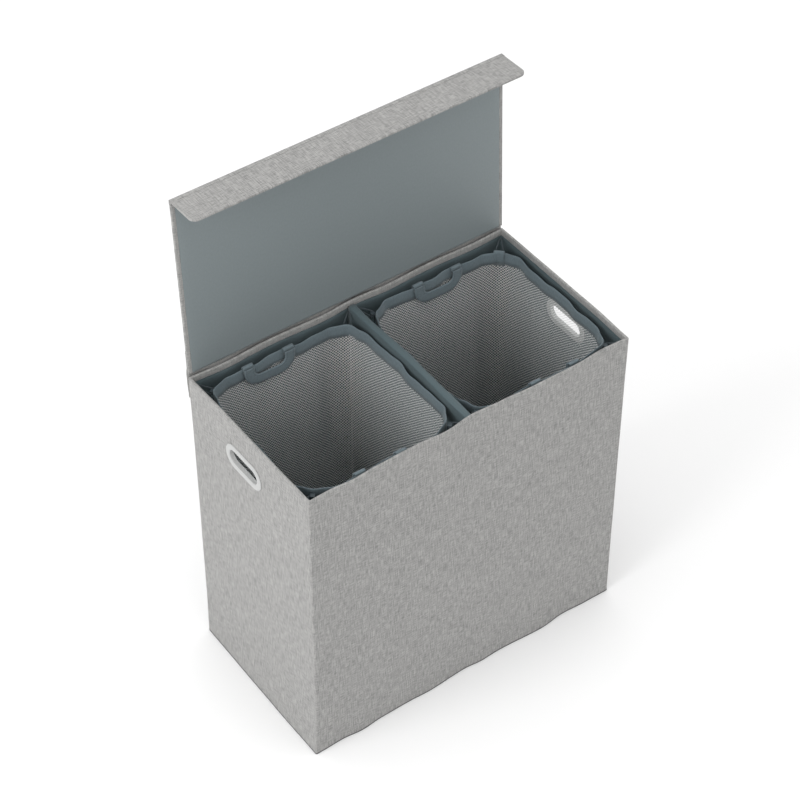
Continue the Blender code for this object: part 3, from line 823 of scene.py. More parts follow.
def make_hand_holds():
    """The moulded rings round the hand-holds: an outer ring with a sleeve, and a flat inner ring."""
    for side in SIDES:
        sign = SIGN[side]
        low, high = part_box(f"{side}_grommet_outer")
        face = high.x if sign > 0 else low.x
        inner = low.x if sign > 0 else high.x
        centre = (low + high) / 2
        half_y, half_z = hold_half_sizes(side)
        wall = sign * HALF_X
        proud = abs(face - wall)
        outer = [(0, sign * (inner - wall)), (0, -0.2 * MM)]
        for t in np.linspace(0.25, math.pi - 0.25, 11):
            outer.append((RING_FLANGE * 0.5 * (1 - math.cos(t)), proud * (0.35 + 0.65 * math.sin(t))))
        outer += [(RING_FLANGE, proud * 0.3), (RING_FLANGE, 0.2 * MM), (RING_FLANGE * 0.6, 0.15 * MM)]
        outer += [(1.7 * MM, 0.15 * MM), (1.7 * MM, sign * (inner - wall))]
        inner_low, inner_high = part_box(f"{side}_grommet_inner")
        back = sign * ((inner_low.x if sign > 0 else inner_high.x) - wall)
        front = sign * ((inner_high.x if sign > 0 else inner_low.x) - wall)
        flat = [(2.2 * MM, front), (RING_FLANGE, front), (RING_FLANGE, (front + back) / 2)]
        flat += [(RING_FLANGE * 0.9, back), (2.4 * MM, back)]
        for name, profile, node_name in (
            (f"{side}_ring", outer, f"{side}_grommet_outer"),
            (f"{side}_inner_ring", flat, f"{side}_grommet_inner"),
        ):
            rows = []
            for offset, depth in profile + profile[:1]:
                line = stadium_line(half_y + offset, half_z + offset, 15)
                x = np.full(len(line), wall + sign * depth)
                rows.append(np.column_stack([x, centre.y + line[:, 0], centre.z + line[:, 1]]))
            points = sway(np.stack(rows))
            data = cloth_mesh(name, points, weave_of(points, ring=True), ring=True)
            clean(data)
            piece(name, data, FINISHES["ring_plastic"], "root", [node_name])


def clean(data):
    """Merges doubled points, turns the faces of a closed shape outwards and marks its sharp edges."""
    bm = bmesh.new()
    bm.from_mesh(data)
    bmesh.ops.remove_doubles(bm, verts=bm.verts, dist=0.00001)
    bmesh.ops.recalc_face_normals(bm, faces=bm.faces)
    bm.to_mesh(data)
    bm.free()
    data.shade_smooth()
    data.set_sharp_from_angle(angle=math.radians(40))


# The lid


def lid_point(x, up, depth):
    """A point of the lid: up from the hinge, and depth in from its outer face."""
    return HINGE + LID_UP * up + LID_IN * depth + Vector((x, 0, 0))


def flap_point(x, out, depth):
    """A point of the flap: out from the fold, and depth below its upper face."""
    return FOLD + LID_IN * out - LID_UP * depth + Vector((x, 0, 0))


def panel_outline(low, high, half, inset, radius, count_x, count_y, near_inset=None):
    """A rectangle's outline with round corners at its far end, always with the same number of points."""
    left, right = -half + inset, half - inset
    near, far = low + (inset if near_inset is None else near_inset), high - inset
    r = max(radius - inset, 0.4 * MM)
    points = []
    points += [(x, near) for x in np.linspace(left, right, count_x, endpoint=False)]
    points += [(right, y) for y in np.linspace(near, far - r, count_y, endpoint=False)]
    points += [tuple(p) for p in arc((right - r, far - r), r, 0, 90, 8)]
    points += [(x, far) for x in np.linspace(right - r, left + r, count_x, endpoint=False)[1:]]
    points += [tuple(p) for p in arc((left + r, far - r), r, 90, 180, 8)]
    points += [(left, y) for y in np.linspace(far - r, near, count_y, endpoint=False)[1:]]
    return points


def turned_edge(thick, lip):
    """Rings of cloth, as (inset, depth), from a board's face round its edge and onto its back."""
    r = min(1.0 * MM, thick / 3)
    rings = [(inset * MM, 0.0) for inset in (12, 7, 4, 2)]
    turn = np.linspace(0, math.pi / 2, 4)
    rings += [(r * (1 - math.sin(t)), r * (1 - math.cos(t))) for t in turn]
    rings += [(r * (1 - math.cos(t)), thick - r * (1 - math.sin(t))) for t in turn]
    return rings + [(lip * 0.5, thick + 0.1 * MM), (lip - 0.8 * MM, thick + 0.1 * MM), (lip, thick - 0.35 * MM)]


def panel_cover(name, place, origin, along_axis, inward, thick, high, radius):
    """Linen over one face of a board and turned over its edges, with slight unevenness over the board."""
    sizes = bpy.context.scene.hamper_sizes
    low = 0.8 * MM
    rows = []
    for inset, depth in turned_edge(thick, sizes.lip):
        near_inset = inset if depth < thick / 2 else 0.2 * MM
        outline = panel_outline(low, high, HALF_X, inset, radius, 76, 40, near_inset)
        rows.append([place(x, y, min(depth, thick) if y < low + 1 * MM else depth) for x, y in outline])
    points = np.array(rows, float)
    data = cloth_mesh(name, points, weave_of(points, ring=True), ring=True)
    bm = bmesh.new()
    bm.from_mesh(data)
    bm.verts.ensure_lookup_table()
    inner = [bm.verts[i] for i in range(points.shape[1])]
    bm.faces.new(reversed(inner))
    for axis, length in ((Vector((1, 0, 0)), HALF_X), (along_axis, high)):
        for at in np.arange(-length if axis.x else 0, length, 12 * MM)[1:]:
            geometry = bm.verts[:] + bm.edges[:] + bm.faces[:]
            place_on = origin + axis * float(at)
            bmesh.ops.bisect_plane(bm, geom=geometry, dist=0.00001, plane_co=place_on, plane_no=axis)
    for vert in bm.verts:
        x, y = vert.co.x, (vert.co - origin).dot(along_axis)
        if (vert.co - origin).dot(inward) < thick / 2:
            edge = min(HALF_X - abs(x), y - low, high - y)
            wave = 0.4 * MM * math.sin(x * 19 + 1) * math.sin(y * 27 + 1)
            vert.co += inward * (wave * float(fade(edge, 0.01, 0.05)))
    bmesh.ops.recalc_face_normals(bm, faces=bm.faces)
    bm.to_mesh(data)
    bm.free()
    data.shade_smooth()
    face = max(data.polygons, key=lambda item: item.area)
    if face.normal.dot(inward) > 0:
        data.flip_normals()
    planar_weave(data, Vector((1, 0, 0)), along_axis)
    return data


def panel_lining(name, place, along_axis, outward, thick, near, far, sides):
    """Lining inside a panel, dipping at its edges under the turned linen."""
    tuck = 1 * MM
    middle = sides - 2.5 * MM
    across = np.concatenate([[-sides - tuck, -sides], np.linspace(-middle, middle, 60), [sides, sides + tuck]])
    along_places = np.concatenate([[near], np.linspace(near + 3 * MM, far - 2.5 * MM, 34), [far, far + tuck]])
    rows = []
    for y in along_places:
        row = []
        for x in across:
            edge = min(sides - abs(x), far - y)
            dip = 0.55 * MM * (1 - float(fade(edge, -1 * MM, 2.5 * MM)))
            wave = 0.25 * MM * math.sin(x * 15 + 0.5) * math.sin(y * 19 + 2) * float(fade(edge, 0.0, 0.04))
            row.append(place(x, y, thick + 0.05 * MM - dip + wave))
        rows.append(row)
    points = np.array(rows, float)
    data = cloth_mesh(name, points, weave_of(points))
    if data.polygons[len(data.polygons) // 2].normal.dot(outward) < 0:
        data.flip_normals()
    planar_weave(data, Vector((1, 0, 0)), along_axis)
    return data


def make_lid():
    """The lid: linen over its board, lining on the inside, and the two side seams."""
    sizes = bpy.context.scene.hamper_sizes
    high = LID_REACH - (panel_thickness("flap") + 0.3 * MM)
    thick = panel_thickness("lid")
    data = panel_cover("lid_cloth", lid_point, HINGE, LID_UP, LID_IN, thick, high, 1.2 * MM)
    cloth = piece("lid_cloth", data, FINISHES["linen"], "lid", ["lid_cover"], thick=0.5 * MM)
    sides = HALF_X - sizes.lip
    face = thick + 0.2 * MM
    data = panel_lining("lid_inner_cloth", lid_point, LID_UP, LID_IN, face, 0.6 * MM, high - 2 * MM, sides)
    lining = piece("lid_inner_cloth", data, FINISHES["lining"], "lid", ["lid_lining"], thick=0.3 * MM)
    inset = sizes.lip - 2 * MM
    for side in SIDES:
        x = SIGN[side] * (HALF_X - inset)
        seam = [lid_point(x, y, face) for y in np.linspace(4 * MM, high - 4 * MM, 40)]
        stitches(f"lid_{side}_stitches", [seam], "thread", "lid")


def panel_thickness(panel):
    """The thickness of the lid or flap: how far its cover reaches from the hinge line's plane."""
    up = LID_IN if panel == "lid" else -LID_UP
    start = HINGE if panel == "lid" else FOLD
    mesh = frame["nodes"][f"{panel}_cover"].data
    return max((vert.co - start).dot(up) for vert in mesh.vertices)


def make_flap():
    """The flap: linen over its board, lining on the inside, and a seam round its free edges."""
    sizes = bpy.context.scene.hamper_sizes
    thick = panel_thickness("flap")
    mesh = frame["nodes"]["flap_cover"].data
    high = max((vert.co - FOLD).dot(LID_IN) for vert in mesh.vertices)
    radius = 12 * MM
    data = panel_cover("flap_cloth", flap_point, FOLD, LID_IN, -LID_UP, thick, high, radius)
    cloth = piece("flap_cloth", data, FINISHES["linen"], "flap", ["flap_cover"], thick=0.5 * MM)
    sides = HALF_X - sizes.lip
    data = panel_lining("flap_inner_cloth", flap_point, LID_IN, -LID_UP, thick, 1 * MM, high - sizes.lip, sides)
    finish = FINISHES["lining"]
    lining = piece("flap_inner_cloth", data, finish, "flap", ["flap_lining"], thick=0.3 * MM)
    seams = []
    for depth in (-0.1 * MM, thick + 0.2 * MM):
        outline = panel_outline(0.8 * MM, high, HALF_X, 4.5 * MM, radius, 40, 10)
        seams.append([flap_point(x, y, depth) for x, y in outline[40:]])
    stitches("flap_edge_stitches", seams, "thread", "flap")


def make_fold():
    """The linen that turns over from the lid to the flap."""
    xs = np.linspace(-HALF_X, HALF_X, 90)
    proud = 0.25 * MM
    radius = 2.2 * MM
    rows = [[lid_point(x, LID_REACH + up * MM, -proud) for x in xs] for up in (-9.0, -6.0, -4.0)]
    for t in np.linspace(0, math.pi / 2, 7):
        out = radius * (1 - math.sin(math.pi / 2 - t)) - proud
        down = radius * (1 - math.sin(t)) - proud
        rows.append([FOLD + LID_IN * out - LID_UP * down + Vector((x, 0, 0)) for x in xs])
    rows += [[flap_point(x, out * MM, -proud) for x in xs] for out in (4.0, 6.0, 9.0)]
    points = np.array(rows, float)
    data = cloth_mesh("flap_fold", points, weave_of(points))
    if data.polygons[len(data.polygons) // 2].normal.dot(LID_UP - LID_IN) < 0:
        data.flip_normals()
    obj = piece("flap_fold", data, FINISHES["linen"], None, thick=0.4 * MM)
    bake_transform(obj)


def make_hinge_strip():
    """The strip of linen that hinges the lid: sewn to the outside of the back wall and of the lid."""
    low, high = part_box("hinge_strip_wall")
    out = high.y + 0.2 * MM
    xs = np.linspace(-HALF_X, HALF_X, 110)
    rows = []
    for z in np.linspace(low.z, TOP - 3 * MM, 9):
        line = np.column_stack([xs, np.full(len(xs), out), np.full(len(xs), z)])
        moved = sway(line)
        rise = float(fade(z, low.z + 4 * MM, TOP - 12 * MM))
        moved[:, 1] += rise * (1.3 * MM + 1.1 * MM * np.sin(xs * 27 + 0.7) ** 2)
        rows.append(moved)
    start = rows[-1]
    end = np.array([lid_point(x, 10 * MM, -1.3 * MM) for x in xs])
    for t in (0.2, 0.4, 0.6, 0.8):
        bend = 0.9 * MM * math.sin(math.pi * t)
        row = start * (1 - t) + end * t
        row[:, 1] += bend
        rows.append(row)
    rows.append(end)
    for up in (16, 24, 32, 40, 45):
        lift = 1.25 * MM - 0.5 * MM * up / 45
        rows.append(np.array([lid_point(x, up * MM, -lift) for x in xs]))
    points = np.stack(rows)
    data = cloth_mesh("hinge_cloth", points, weave_of(points))
    if data.polygons[5].normal.y < 0:
        data.flip_normals()
    names = ["hinge_strip_wall", "hinge_strip_lid"]
    obj = piece("hinge_cloth", data, FINISHES["linen"], None, names, thick=0.6 * MM)
    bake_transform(obj)
    for name, body, row in (("wall", "root", 1), ("lid", "lid", -2)):
        line = points[row] + np.array([0, 0.25 * MM, 0])
        stitches(f"hinge_{name}_stitches", [line], "thread", body)


# The liners


class Liner:
    """One net liner's sizes, from its CAD nodes."""

    def __init__(self, side):
        self.side = side
        low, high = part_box(f"{side}_liner_trim")
        base_low, base_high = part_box(f"{side}_liner_base")
        self.centre = (low.x + high.x) / 2
        self.top = high.z
        self.trim_low = low.z
        self.bottom = base_high.z
        self.half = np.array([(high.x - low.x) / 2, (high.y - low.y) / 2])
        self.base_half = np.array([(base_high.x - base_low.x) / 2, (base_high.y - base_low.y) / 2])
        self.corner = 48 * MM
        self.base_corner = 40 * MM

    def line(self, z, shares, inset=0.0):
        """Points round the liner at a height, at shares of the way round from the middle of its right side."""
        down = (self.top - z) / (self.top - self.bottom)
        half = self.half + (self.base_half - self.half) * down - inset
        radius = self.corner + (self.base_corner - self.corner) * down - inset
        runs = [half[1] - radius, radius * math.pi / 2, 2 * (half[0] - radius), radius * math.pi / 2]
        runs += [2 * (half[1] - radius), radius * math.pi / 2, 2 * (half[0] - radius), radius * math.pi / 2]
        runs += [half[1] - radius]
        stops = np.concatenate([[0], np.cumsum(runs)])
        at = (shares % 1.0) * stops[-1]
        x, y = np.zeros(len(at)), np.zeros(len(at))
        h, w = half[1] - radius, half[0] - radius
        centres = {1: (w, h, 0), 3: (-w, h, 90), 5: (-w, -h, 180), 7: (w, -h, 270)}
        starts = {
            0: (half[0], 0, 0, 1),
            2: (w, half[1], -1, 0),
            4: (-half[0], h, 0, -1),
            6: (-w, -half[1], 1, 0),
            8: (half[0], -h, 0, 1),
        }
        run = np.clip(np.searchsorted(stops, at, side="right") - 1, 0, 8)
        for k in range(9):
            chosen = run == k
            rest = at[chosen] - stops[k]
            if k % 2:
                cx, cy, start = centres[k]
                angle = np.radians(start) + rest / radius
                x[chosen], y[chosen] = cx + radius * np.cos(angle), cy + radius * np.sin(angle)
            else:
                sx, sy, dx, dy = starts[k]
                x[chosen], y[chosen] = sx + dx * rest, sy + dy * rest
        corner = np.where(run % 2 == 1, (at - stops[run]) / (radius * math.pi / 2), 0.0)
        self.dents = np.sin(2 * math.pi * corner) ** 2
        return np.column_stack([x + self.centre, y]), stops[-1]

    def outward(self, points):
        """Unit directions away from the liner's middle line, square to its sides."""
        away = points - np.array([self.centre, 0.0])
        away = away / self.half
        away = np.sign(away) * np.abs(away) ** 5
        return away / np.linalg.norm(away, axis=1, keepdims=True)

    def phase(self):
        """Sets the two liners' waves apart."""
        return 0.0 if self.side == "left" else 1.7


def trim_wave(liner, shares, z):
    """How the trim sways in and out, and up and down, between the hooks."""
    sizes = bpy.context.scene.hamper_sizes
    turn = shares * 2 * math.pi
    phase = liner.phase()
    out = np.sin(turn * 9 + phase) * 0.55 + np.sin(turn * 17 + 2 * phase) * 0.35 + np.sin(turn * 27) * 0.2
    lift = np.sin(turn * 8 + 1 + phase) * 0.5 + np.sin(turn * 13 + phase) * 0.35 + np.sin(turn * 23) * 0.25
    low = fade(liner.top - z, 0.0, 22 * MM)
    out = sizes.trim_wave * out * (1 - 0.4 * low) - liner.dents * 3.0 * MM
    return out, sizes.trim_wave * 0.8 * lift - 1.0 * MM


def trim_line(liner, shares, down, inset):
    """Points round the trim, at a share of its depth and an inset in millimetres from its outer face."""
    z = liner.top - (liner.top - liner.trim_low) * down
    line, _ = liner.line(z, shares)
    out, lift = trim_wave(liner, shares, z)
    puff = 0.5 * MM * math.sin(math.pi * down)
    line = line + liner.outward(line) * (out - inset * MM + puff * (1 if inset < 1 else -0.4))[:, None]
    return np.column_stack([line, z + lift])


def make_trim(liner):
    """The binding round the liner's mouth: a folded strip of slate cloth, wavy where the net pulls it."""
    count = 220
    shares = np.arange(count) / count
    profile = [(1.3, 1.0), (1.2, 0.6), (1.0, 0.3), (0.9, 0.02), (0.7, 0.0)]
    profile += [(0.4, 0.0), (0.2, 0.02), (0.0, 0.3), (0.1, 0.6), (0.0, 1.0)]
    points = np.stack([trim_line(liner, shares, down, inset) for inset, down in profile])
    name = f"{liner.side}_trim"
    body = f"{liner.side}_liner"
    data = cloth_mesh(name, points, weave_of(points, ring=True), ring=True, flip=True)
    obj = piece(name, data, FINISHES["webbing"], body, [f"{body}_trim"], thick=0.5 * MM, offset=1.0)
    around = liner.line(liner.top, shares)[1]
    seams = []
    for down, inset in ((0.86, -0.2), (0.12, -0.2), (0.86, 2.4)):
        row = trim_line(liner, shares, down, inset)
        seams.append(np.concatenate([row, row[:1]]))
    stitches(f"{name}_stitches", seams, "dark_thread", body)


def net_points(liner, shares, z):
    """The hanging net: folds deepen towards the base, and the middle of each side swells a little."""
    sizes = bpy.context.scene.hamper_sizes
    inset = 1.0 * MM
    line, _ = liner.line(z, shares, inset)
    down = (liner.top - z) / (liner.top - liner.bottom)
    turn = shares * 2 * math.pi
    phase = liner.phase()
    folds = np.sin(turn * 7 + phase + 2.2 * down) * 0.5 + np.sin(turn * 15 + 1.5 * phase - 3 * down) * 0.35
    folds += np.sin(turn * 31 + 5 * down + phase) * 0.15
    depth = sizes.net_fold * (0.25 + 1.2 * math.sin(math.pi * min(down * 1.05, 1.0)) ** 0.8)
    depth *= 1 - 0.6 * fade(down, 0.9, 1.0)
    out, lift = trim_wave(liner, shares, z)
    near = 1 - fade(down, 0.0, 0.12)
    line = line + liner.outward(line) * (folds * depth + out * near)[:, None]
    return np.column_stack([line, z + lift * near])


def make_net(liner):
    """The net itself: diamonds of yarn round the liner's sides, front and back halves."""
    sizes = bpy.context.scene.hamper_sizes
    step = sizes.net_pitch / 2
    top = liner.trim_low + 4 * MM
    bottom = liner.bottom + 1 * MM
    rows = 2 * round((top - bottom) / step / 2)
    around = liner.line(top, np.array([0.0]))[1]
    columns = 4 * round(around / step / 4)
    heights = np.linspace(top, bottom, rows + 1)
    tree = bpy.data.node_groups.get("net_lattice") or lattice_tree()
    body = f"{liner.side}_liner"
    for end, first in (("back", 0), ("front", columns // 2)):
        count = columns // 2
        grid = np.stack([net_points(liner, (first + np.arange(count + 2)) / columns, z) for z in heights])
        index = np.arange((rows + 1) * (count + 2)).reshape(rows + 1, count + 2)
        r, c = np.meshgrid(np.arange(1, rows), np.arange(1, count + 1), indexing="ij")
        chosen = (r + c) % 2 == 1
        r, c = r[chosen], c[chosen]
        quads = np.stack([index[r - 1, c], index[r, c - 1], index[r + 1, c], index[r, c + 1]], -1)
        name = f"{liner.side}_net_{end}"
        data = bpy.data.meshes.new(name)
        data.from_pydata(grid.reshape(-1, 3).tolist(), [], quads.tolist())
        obj = bpy.data.objects.new(name, data)
        bpy.context.scene.collection.objects.link(obj)
        run_tree(obj, tree, {"Hole": sizes.net_hole, "Material": FINISHES["net"]})
        drop_loose(obj.data)
        obj.data.shade_smooth()
        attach(obj, body)
        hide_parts(f"{liner.side}_liner_net")
        girth = (around + liner.line(bottom, np.array([0.0]))[1]) / 2


def drop_loose(data):
    """Removes points and edges that no face uses."""
    bm = bmesh.new()
    bm.from_mesh(data)
    loose = [vert for vert in bm.verts if not vert.link_faces]
    bmesh.ops.delete(bm, geom=loose, context="VERTS")
    bm.to_mesh(data)
    bm.free()


def make_liner_base(liner):
    """The liner's base: a panel of lining sewn to the net."""
    shares = np.arange(160) / 160
    rows = []
    for inset in (-2.0, 0.5, 6, 20, 45, 80, 94):
        line, _ = liner.line(liner.bottom, shares, 0)
        centre = np.array([liner.centre, 0.0])
        share = max(0.02, 1 - inset * MM / liner.base_half[1])
        line = centre + (line - centre) * share
        dent = 0.8 * MM * np.sin(line[:, 0] * 40) * np.sin(line[:, 1] * 33) * fade(inset, 5, 40)
        z = liner.bottom + 0.6 * MM + dent
        if inset < 0:
            z = z + 7 * MM
        rows.append(np.column_stack([line, z]))
    points = np.stack(rows)
    name = f"{liner.side}_base_panel"
    data = cloth_mesh(name, points, weave_of(points, ring=True), ring=True)
    bm = bmesh.new()
    bm.from_mesh(data)
    hole = [edge for edge in bm.edges if edge.is_boundary and edge.verts[0].co.z < liner.bottom + 4 * MM]
    bmesh.ops.contextual_create(bm, geom=hole)
    bm.to_mesh(data)
    bm.free()
    planar_weave(data, Vector((1, 0, 0)), Vector((0, 1, 0)))
    if max(data.polygons, key=lambda face: face.area).normal.z < 0:
        data.flip_normals()
    body = f"{liner.side}_liner"
    obj = piece(name, data, FINISHES["box_lining"], body, [f"{body}_base"], thick=0.6 * MM)


def make_handle(side, end):
    """A webbing loop: down, across and up again, softly bowed, sewn to the trim at both ends."""
    name = f"{side}_{end}_handle"
    low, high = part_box(name)
    joint = Vector(JOINTS[f"{name}_hinge"]["pos_m"])
    half = (high.x - low.x) / 2
    drop = joint.z - low.z
    corner = 30 * MM
    middle = WEB_WIDTH / 2
    path = [(-half + middle, y) for y in np.linspace(0.8 * MM, -drop + corner, 4, endpoint=False)]
    path += [tuple(p) for p in arc((-half + corner, -drop + corner), corner - middle, 180, 270, 10)]
    path += [(x, -drop + middle) for x in np.linspace(-half + corner, half - corner, 8)[1:-1]]
    path += [tuple(p) for p in arc((half - corner, -drop + corner), corner - middle, 270, 360, 10)]
    path += [(half - middle, y) for y in np.linspace(-drop + corner, 0.8 * MM, 4)[1:]]
    path = np.array(path)
    tangents = np.gradient(path, axis=0)
    tangents /= np.linalg.norm(tangents, axis=1, keepdims=True)
    normals = np.column_stack([-tangents[:, 1], tangents[:, 0]])
    sign = SIGN[end]
    rows = []
    for across in np.linspace(-0.5, 0.5, 7):
        line = path + normals * across * WEB_WIDTH
        hang = fade(-line[:, 1], 0, drop)
        cup = 0.5 * MM * (1 - 4 * across * across)
        y = joint.y - sign * (hang * 1.6 * MM + cup + 0.4 * MM * np.sin(line[:, 0] * 60))
        rows.append(np.column_stack([line[:, 0] + joint.x, y, line[:, 1] + joint.z]))
    points = np.stack(rows)
    data = cloth_mesh(name + "_web", points, weave_of(points))
    obj = piece(name + "_web", data, FINISHES["webbing"], name, [name], thick=1.3 * MM, offset=0.0)
    face = np.array([0, -sign * 0.75 * MM, 0])
    stitches(f"{name}_stitches", [rows[1] + face, rows[-2] + face], "dark_thread", name)


def make_handle_ends(liner, end):
    """Where each leg of a handle is folded over the trim and sewn."""
    name = f"{liner.side}_{end}_handle"
    body = f"{liner.side}_liner"
    low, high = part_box(name)
    joint = Vector(JOINTS[f"{name}_hinge"]["pos_m"])
    sign = SIGN[end]
    trim_y = sign * liner.half[1]
    places = np.linspace(-WEB_WIDTH / 2, WEB_WIDTH / 2, 7)
    pinch = 0.3 * MM * np.cos(places / WEB_WIDTH * math.pi)
    top = 3.4 if end == "front" else 2.2
    profile = [(-3.6, -9), (-3.5, -3), (-3.3, top - 1), (-2.7, top)]
    profile += [(0.9, top), (1.5, top - 1), (1.7, -2), (1.6, -14)]
    for leg, across in (("left", -1), ("right", 1)):
        centre = joint.x + across * ((high.x - low.x) / 2 - WEB_WIDTH / 2)
        rows = []
        for out, z in profile:
            y = trim_y + sign * (out * MM + pinch)
            rows.append(np.column_stack([centre + places, y, np.full(len(places), liner.top + z * MM)]))
        points = np.stack(rows)
        data = cloth_mesh(f"{name}_{leg}_end", points, np.flip(weave_of(points), axis=-1), flip=sign < 0)
        obj = piece(f"{name}_{leg}_end", data, FINISHES["webbing"], body, thick=1.0 * MM, offset=0.0)


def make_hooks(liner):
    """The moulded hooks at the liner's corners, their edges rounded."""
    for end in ENDS:
        for place in ("outer", "inner"):
            name = f"{liner.side}_{end}_{place}_hook"
            bm = bmesh.new()
            bm.from_mesh(frame["nodes"][name].data)
            bmesh.ops.remove_doubles(bm, verts=bm.verts, dist=0.00001)
            bmesh.ops.dissolve_limit(bm, angle_limit=0.02, verts=bm.verts, edges=bm.edges)
            bmesh.ops.bevel(bm, geom=bm.edges[:], offset=0.45 * MM, segments=3, affect="EDGES", profile=0.5)
            data = bpy.data.meshes.new(name + "_moulding")
            bm.to_mesh(data)
            bm.free()
            data.shade_smooth()
            plastic = "hook_plastic"
            piece(name + "_moulding", data, FINISHES[plastic], f"{liner.side}_liner", [name])


def make_corner_tab(liner, end, place):
    """A short webbing tab folded over the trim at a corner, in front of its hook."""
    low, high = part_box(f"{liner.side}_{end}_{place}_hook")
    hook = (low + high) / 2
    reach = liner.half - liner.corner
    across_to = math.copysign(reach[0], hook.x - liner.centre)
    corner = Vector((liner.centre + across_to, math.copysign(reach[1], hook.y), 0))
    out = Vector((hook.x - corner.x, hook.y - corner.y, 0)).normalized()
    side = Vector((-out.y, out.x, 0))
    rows = []
    for depth, drop in ((-4.2, -27), (-4.0, -14), (-3.6, -3), (-3.0, 1.2), (-1.2, 2.2), (0.2, 1.2), (0.2, -4)):
        row = []
        for across in np.linspace(-0.5, 0.5, 7):
            bend = liner.corner - math.sqrt(liner.corner ** 2 - (across * TAB_WIDTH) ** 2)
            point = corner + out * (liner.corner + depth * MM - bend) + side * across * TAB_WIDTH
            row.append((point.x, point.y, liner.top + drop * MM))
        rows.append(row)
    points = np.array(rows)
    name = f"{liner.side}_corner_tab"
    data = cloth_mesh(name, points, np.flip(weave_of(points), axis=-1))
    body = f"{liner.side}_liner"
    tab = piece(name, data, FINISHES["webbing"], body, thick=1.0 * MM, offset=0.0)


def make_liners():
    """Both liners with all that is sewn to them, and the one tab at the right back corner."""
    for side in SIDES:
        liner = Liner(side)
        make_trim(liner)
        make_net(liner)
        make_liner_base(liner)
        make_hooks(liner)
        for end in ENDS:
            make_handle(side, end)
            make_handle_ends(liner, end)
    make_corner_tab(Liner("right"), "back", "outer")


def make_cords():
    """The elastic loops in the box's corners, round and smooth."""
    for side in SIDES:
        for end in ENDS:
            for place in ("outer", "inner"):
                name = f"{side}_{end}_{place}_cord_loop"
                bm = bmesh.new()
                bm.from_mesh(frame["nodes"][name].data)
                bmesh.ops.remove_doubles(bm, verts=bm.verts, dist=0.00001)
                data = bpy.data.meshes.new(name + "_braid")
                bm.to_mesh(data)
                bm.free()
                data.shade_smooth()
                obj = piece(name + "_braid", data, FINISHES["cord"], None, [name])
                finer = obj.modifiers.new("Round", "SUBSURF")
                finer.levels = 1
                finer.render_levels = 1
                settle(obj)
                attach(obj, "root")


def finish_frame_nodes():
    """Finishes for the CAD nodes: the boards that stay as they are, and the solids that the pieces replace."""
    chosen = {part["node"]: part["material_slot"] for part in frame["record"]["subparts"]}
    for name, obj in frame["nodes"].items():
        obj.data.materials.clear()
        obj.data.materials.append(FINISHES[chosen[name]])


# The stage


def make_stage():
    """A plain pale floor, soft lights and the camera."""
    scene = bpy.context.scene
    bpy.ops.mesh.primitive_plane_add(size=40, location=(0, 0, -0.0005))
    floor = bpy.context.object
    floor.name = "floor"
    made, _, shader = new_material("matt_white_floor", 0.9, specular=0.1)
    shader.inputs["Base Color"].default_value = (FLOOR_WHITE, FLOOR_WHITE, FLOOR_WHITE, 1)
    floor.data.materials.append(made)
    world = bpy.data.worlds.new("studio")
    world.use_nodes = True
    world.node_tree.nodes["Background"].inputs[0].default_value = (1, 1, 1, 1)
    world.node_tree.nodes["Background"].inputs[1].default_value = SKY_LIGHT
    scene.world = world
    for name, place, size, power in LIGHTS:
        light = bpy.data.lights.new(name, "AREA")
        light.size = size
        light.energy = power
        lamp = bpy.data.objects.new(name, light)
        scene.collection.objects.link(lamp)
        lamp.location = place
        lamp.rotation_euler = (Vector((0, 0, 0.4)) - Vector(place)).to_track_quat("-Z", "Y").to_euler()
    level = math.cos(CAMERA_ELEVATION)
    x, y, z = math.sin(CAMERA_AZIMUTH) * level, -math.cos(CAMERA_AZIMUTH) * level, math.sin(CAMERA_ELEVATION)
    back = Vector((x, y, z))
    camera_data = bpy.data.cameras.new("camera")
    camera_data.sensor_width = CAMERA_SENSOR
    camera_data.lens = CAMERA_LENS
    camera = bpy.data.objects.new("camera", camera_data)
    scene.collection.objects.link(camera)
    camera.location = CAMERA_PLACE
    camera.rotation_euler = (-back).to_track_quat("-Z", "Y").to_euler()
    scene.camera = camera
    scene.view_settings.view_transform = "Standard"


# Operators


class HAMPER_OT_stage(bpy.types.Operator):
    """Floor, lights and camera."""

    bl_idname = "hamper.stage"
    bl_label = "Stage"

    def execute(self, context):
        make_stage()
        return {"FINISHED"}


class HAMPER_OT_finishes(bpy.types.Operator):
    """Every material of the hamper."""

    bl_idname = "hamper.finishes"
    bl_label = "Finishes"

    def execute(self, context):
        make_finishes(context.scene.hamper_colours)
        finish_frame_nodes()
        return {"FINISHED"}


class HAMPER_OT_box(bpy.types.Operator):
    """Linen, the hem's painted shade strip, boards, underside and linings of the box."""

    bl_idname = "hamper.box"
    bl_label = "Box"

    def execute(self, context):
        make_box_cloth()
        make_hem_painted_shade()
        make_boards()
        make_underside()
        make_base_cloth()
        make_box_lining()
        return {"FINISHED"}


class HAMPER_OT_divider(bpy.types.Operator):
    """The padded divider between the compartments."""

    bl_idname = "hamper.divider"
    bl_label = "Divider"

    def execute(self, context):
        make_divider()
        return {"FINISHED"}


class HAMPER_OT_hand_holds(bpy.types.Operator):
    """The rings in the side walls."""

    bl_idname = "hamper.hand_holds"
    bl_label = "Hand-holds"

    def execute(self, context):
        make_hand_holds()
        return {"FINISHED"}


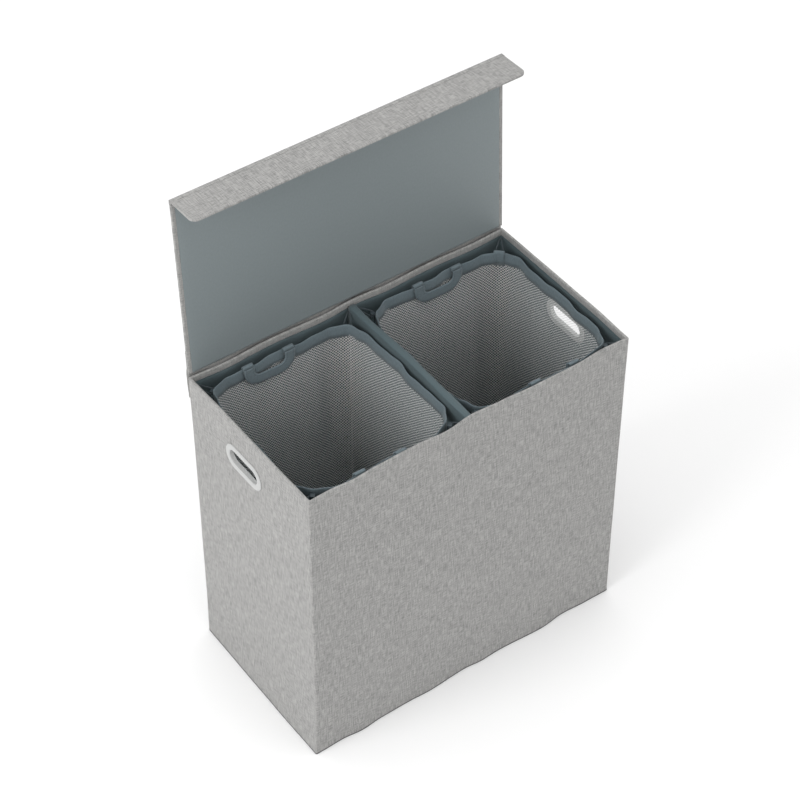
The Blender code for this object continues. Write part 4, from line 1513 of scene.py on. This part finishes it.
class HAMPER_OT_lid(bpy.types.Operator):
    """Lid, flap and the cloth folds between them."""

    bl_idname = "hamper.lid"
    bl_label = "Lid"

    def execute(self, context):
        make_lid()
        make_flap()
        make_fold()
        make_hinge_strip()
        return {"FINISHED"}


class HAMPER_OT_liners(bpy.types.Operator):
    """Net liners with their trims, handles and hooks."""

    bl_idname = "hamper.liners"
    bl_label = "Liners"

    def execute(self, context):
        make_liners()
        return {"FINISHED"}


class HAMPER_OT_cords(bpy.types.Operator):
    """Elastic loops in the box's corners."""

    bl_idname = "hamper.cords"
    bl_label = "Cords"

    def execute(self, context):
        make_cords()
        return {"FINISHED"}


OPERATORS = (
    HAMPER_OT_stage,
    HAMPER_OT_finishes,
    HAMPER_OT_box,
    HAMPER_OT_divider,
    HAMPER_OT_hand_holds,
    HAMPER_OT_lid,
    HAMPER_OT_liners,
    HAMPER_OT_cords,
)


class HAMPER_PT_panel(bpy.types.Panel):
    """Sizes, colours and building steps of the hamper."""

    bl_idname = "HAMPER_PT_panel"
    bl_label = "Linen hamper"
    bl_space_type = "VIEW_3D"
    bl_region_type = "UI"
    bl_category = "Hamper"

    def draw(self, context):
        for group in (context.scene.hamper_sizes, context.scene.hamper_colours):
            for key in group.__annotations__:
                self.layout.prop(group, key)
        for made in OPERATORS:
            self.layout.operator(made.bl_idname)


CLASSES = (HamperSizes, HamperColours, *OPERATORS, HAMPER_PT_panel)


def register():
    """Adds the hamper's settings, operators and panel."""
    for item in CLASSES:
        bpy.utils.register_class(item)
    bpy.types.Scene.hamper_sizes = bpy.props.PointerProperty(type=HamperSizes)
    bpy.types.Scene.hamper_colours = bpy.props.PointerProperty(type=HamperColours)


def unregister():
    """Takes them away again."""
    del bpy.types.Scene.hamper_sizes
    del bpy.types.Scene.hamper_colours
    for item in reversed(CLASSES):
        bpy.utils.unregister_class(item)


def main():
    """Builds the hamper with the default settings."""
    register()
    for made in OPERATORS:
        group, name = made.bl_idname.split(".")
        getattr(getattr(bpy.ops, group), name)()
    bpy.context.view_layer.update()


if __name__ == "__main__":
    main()
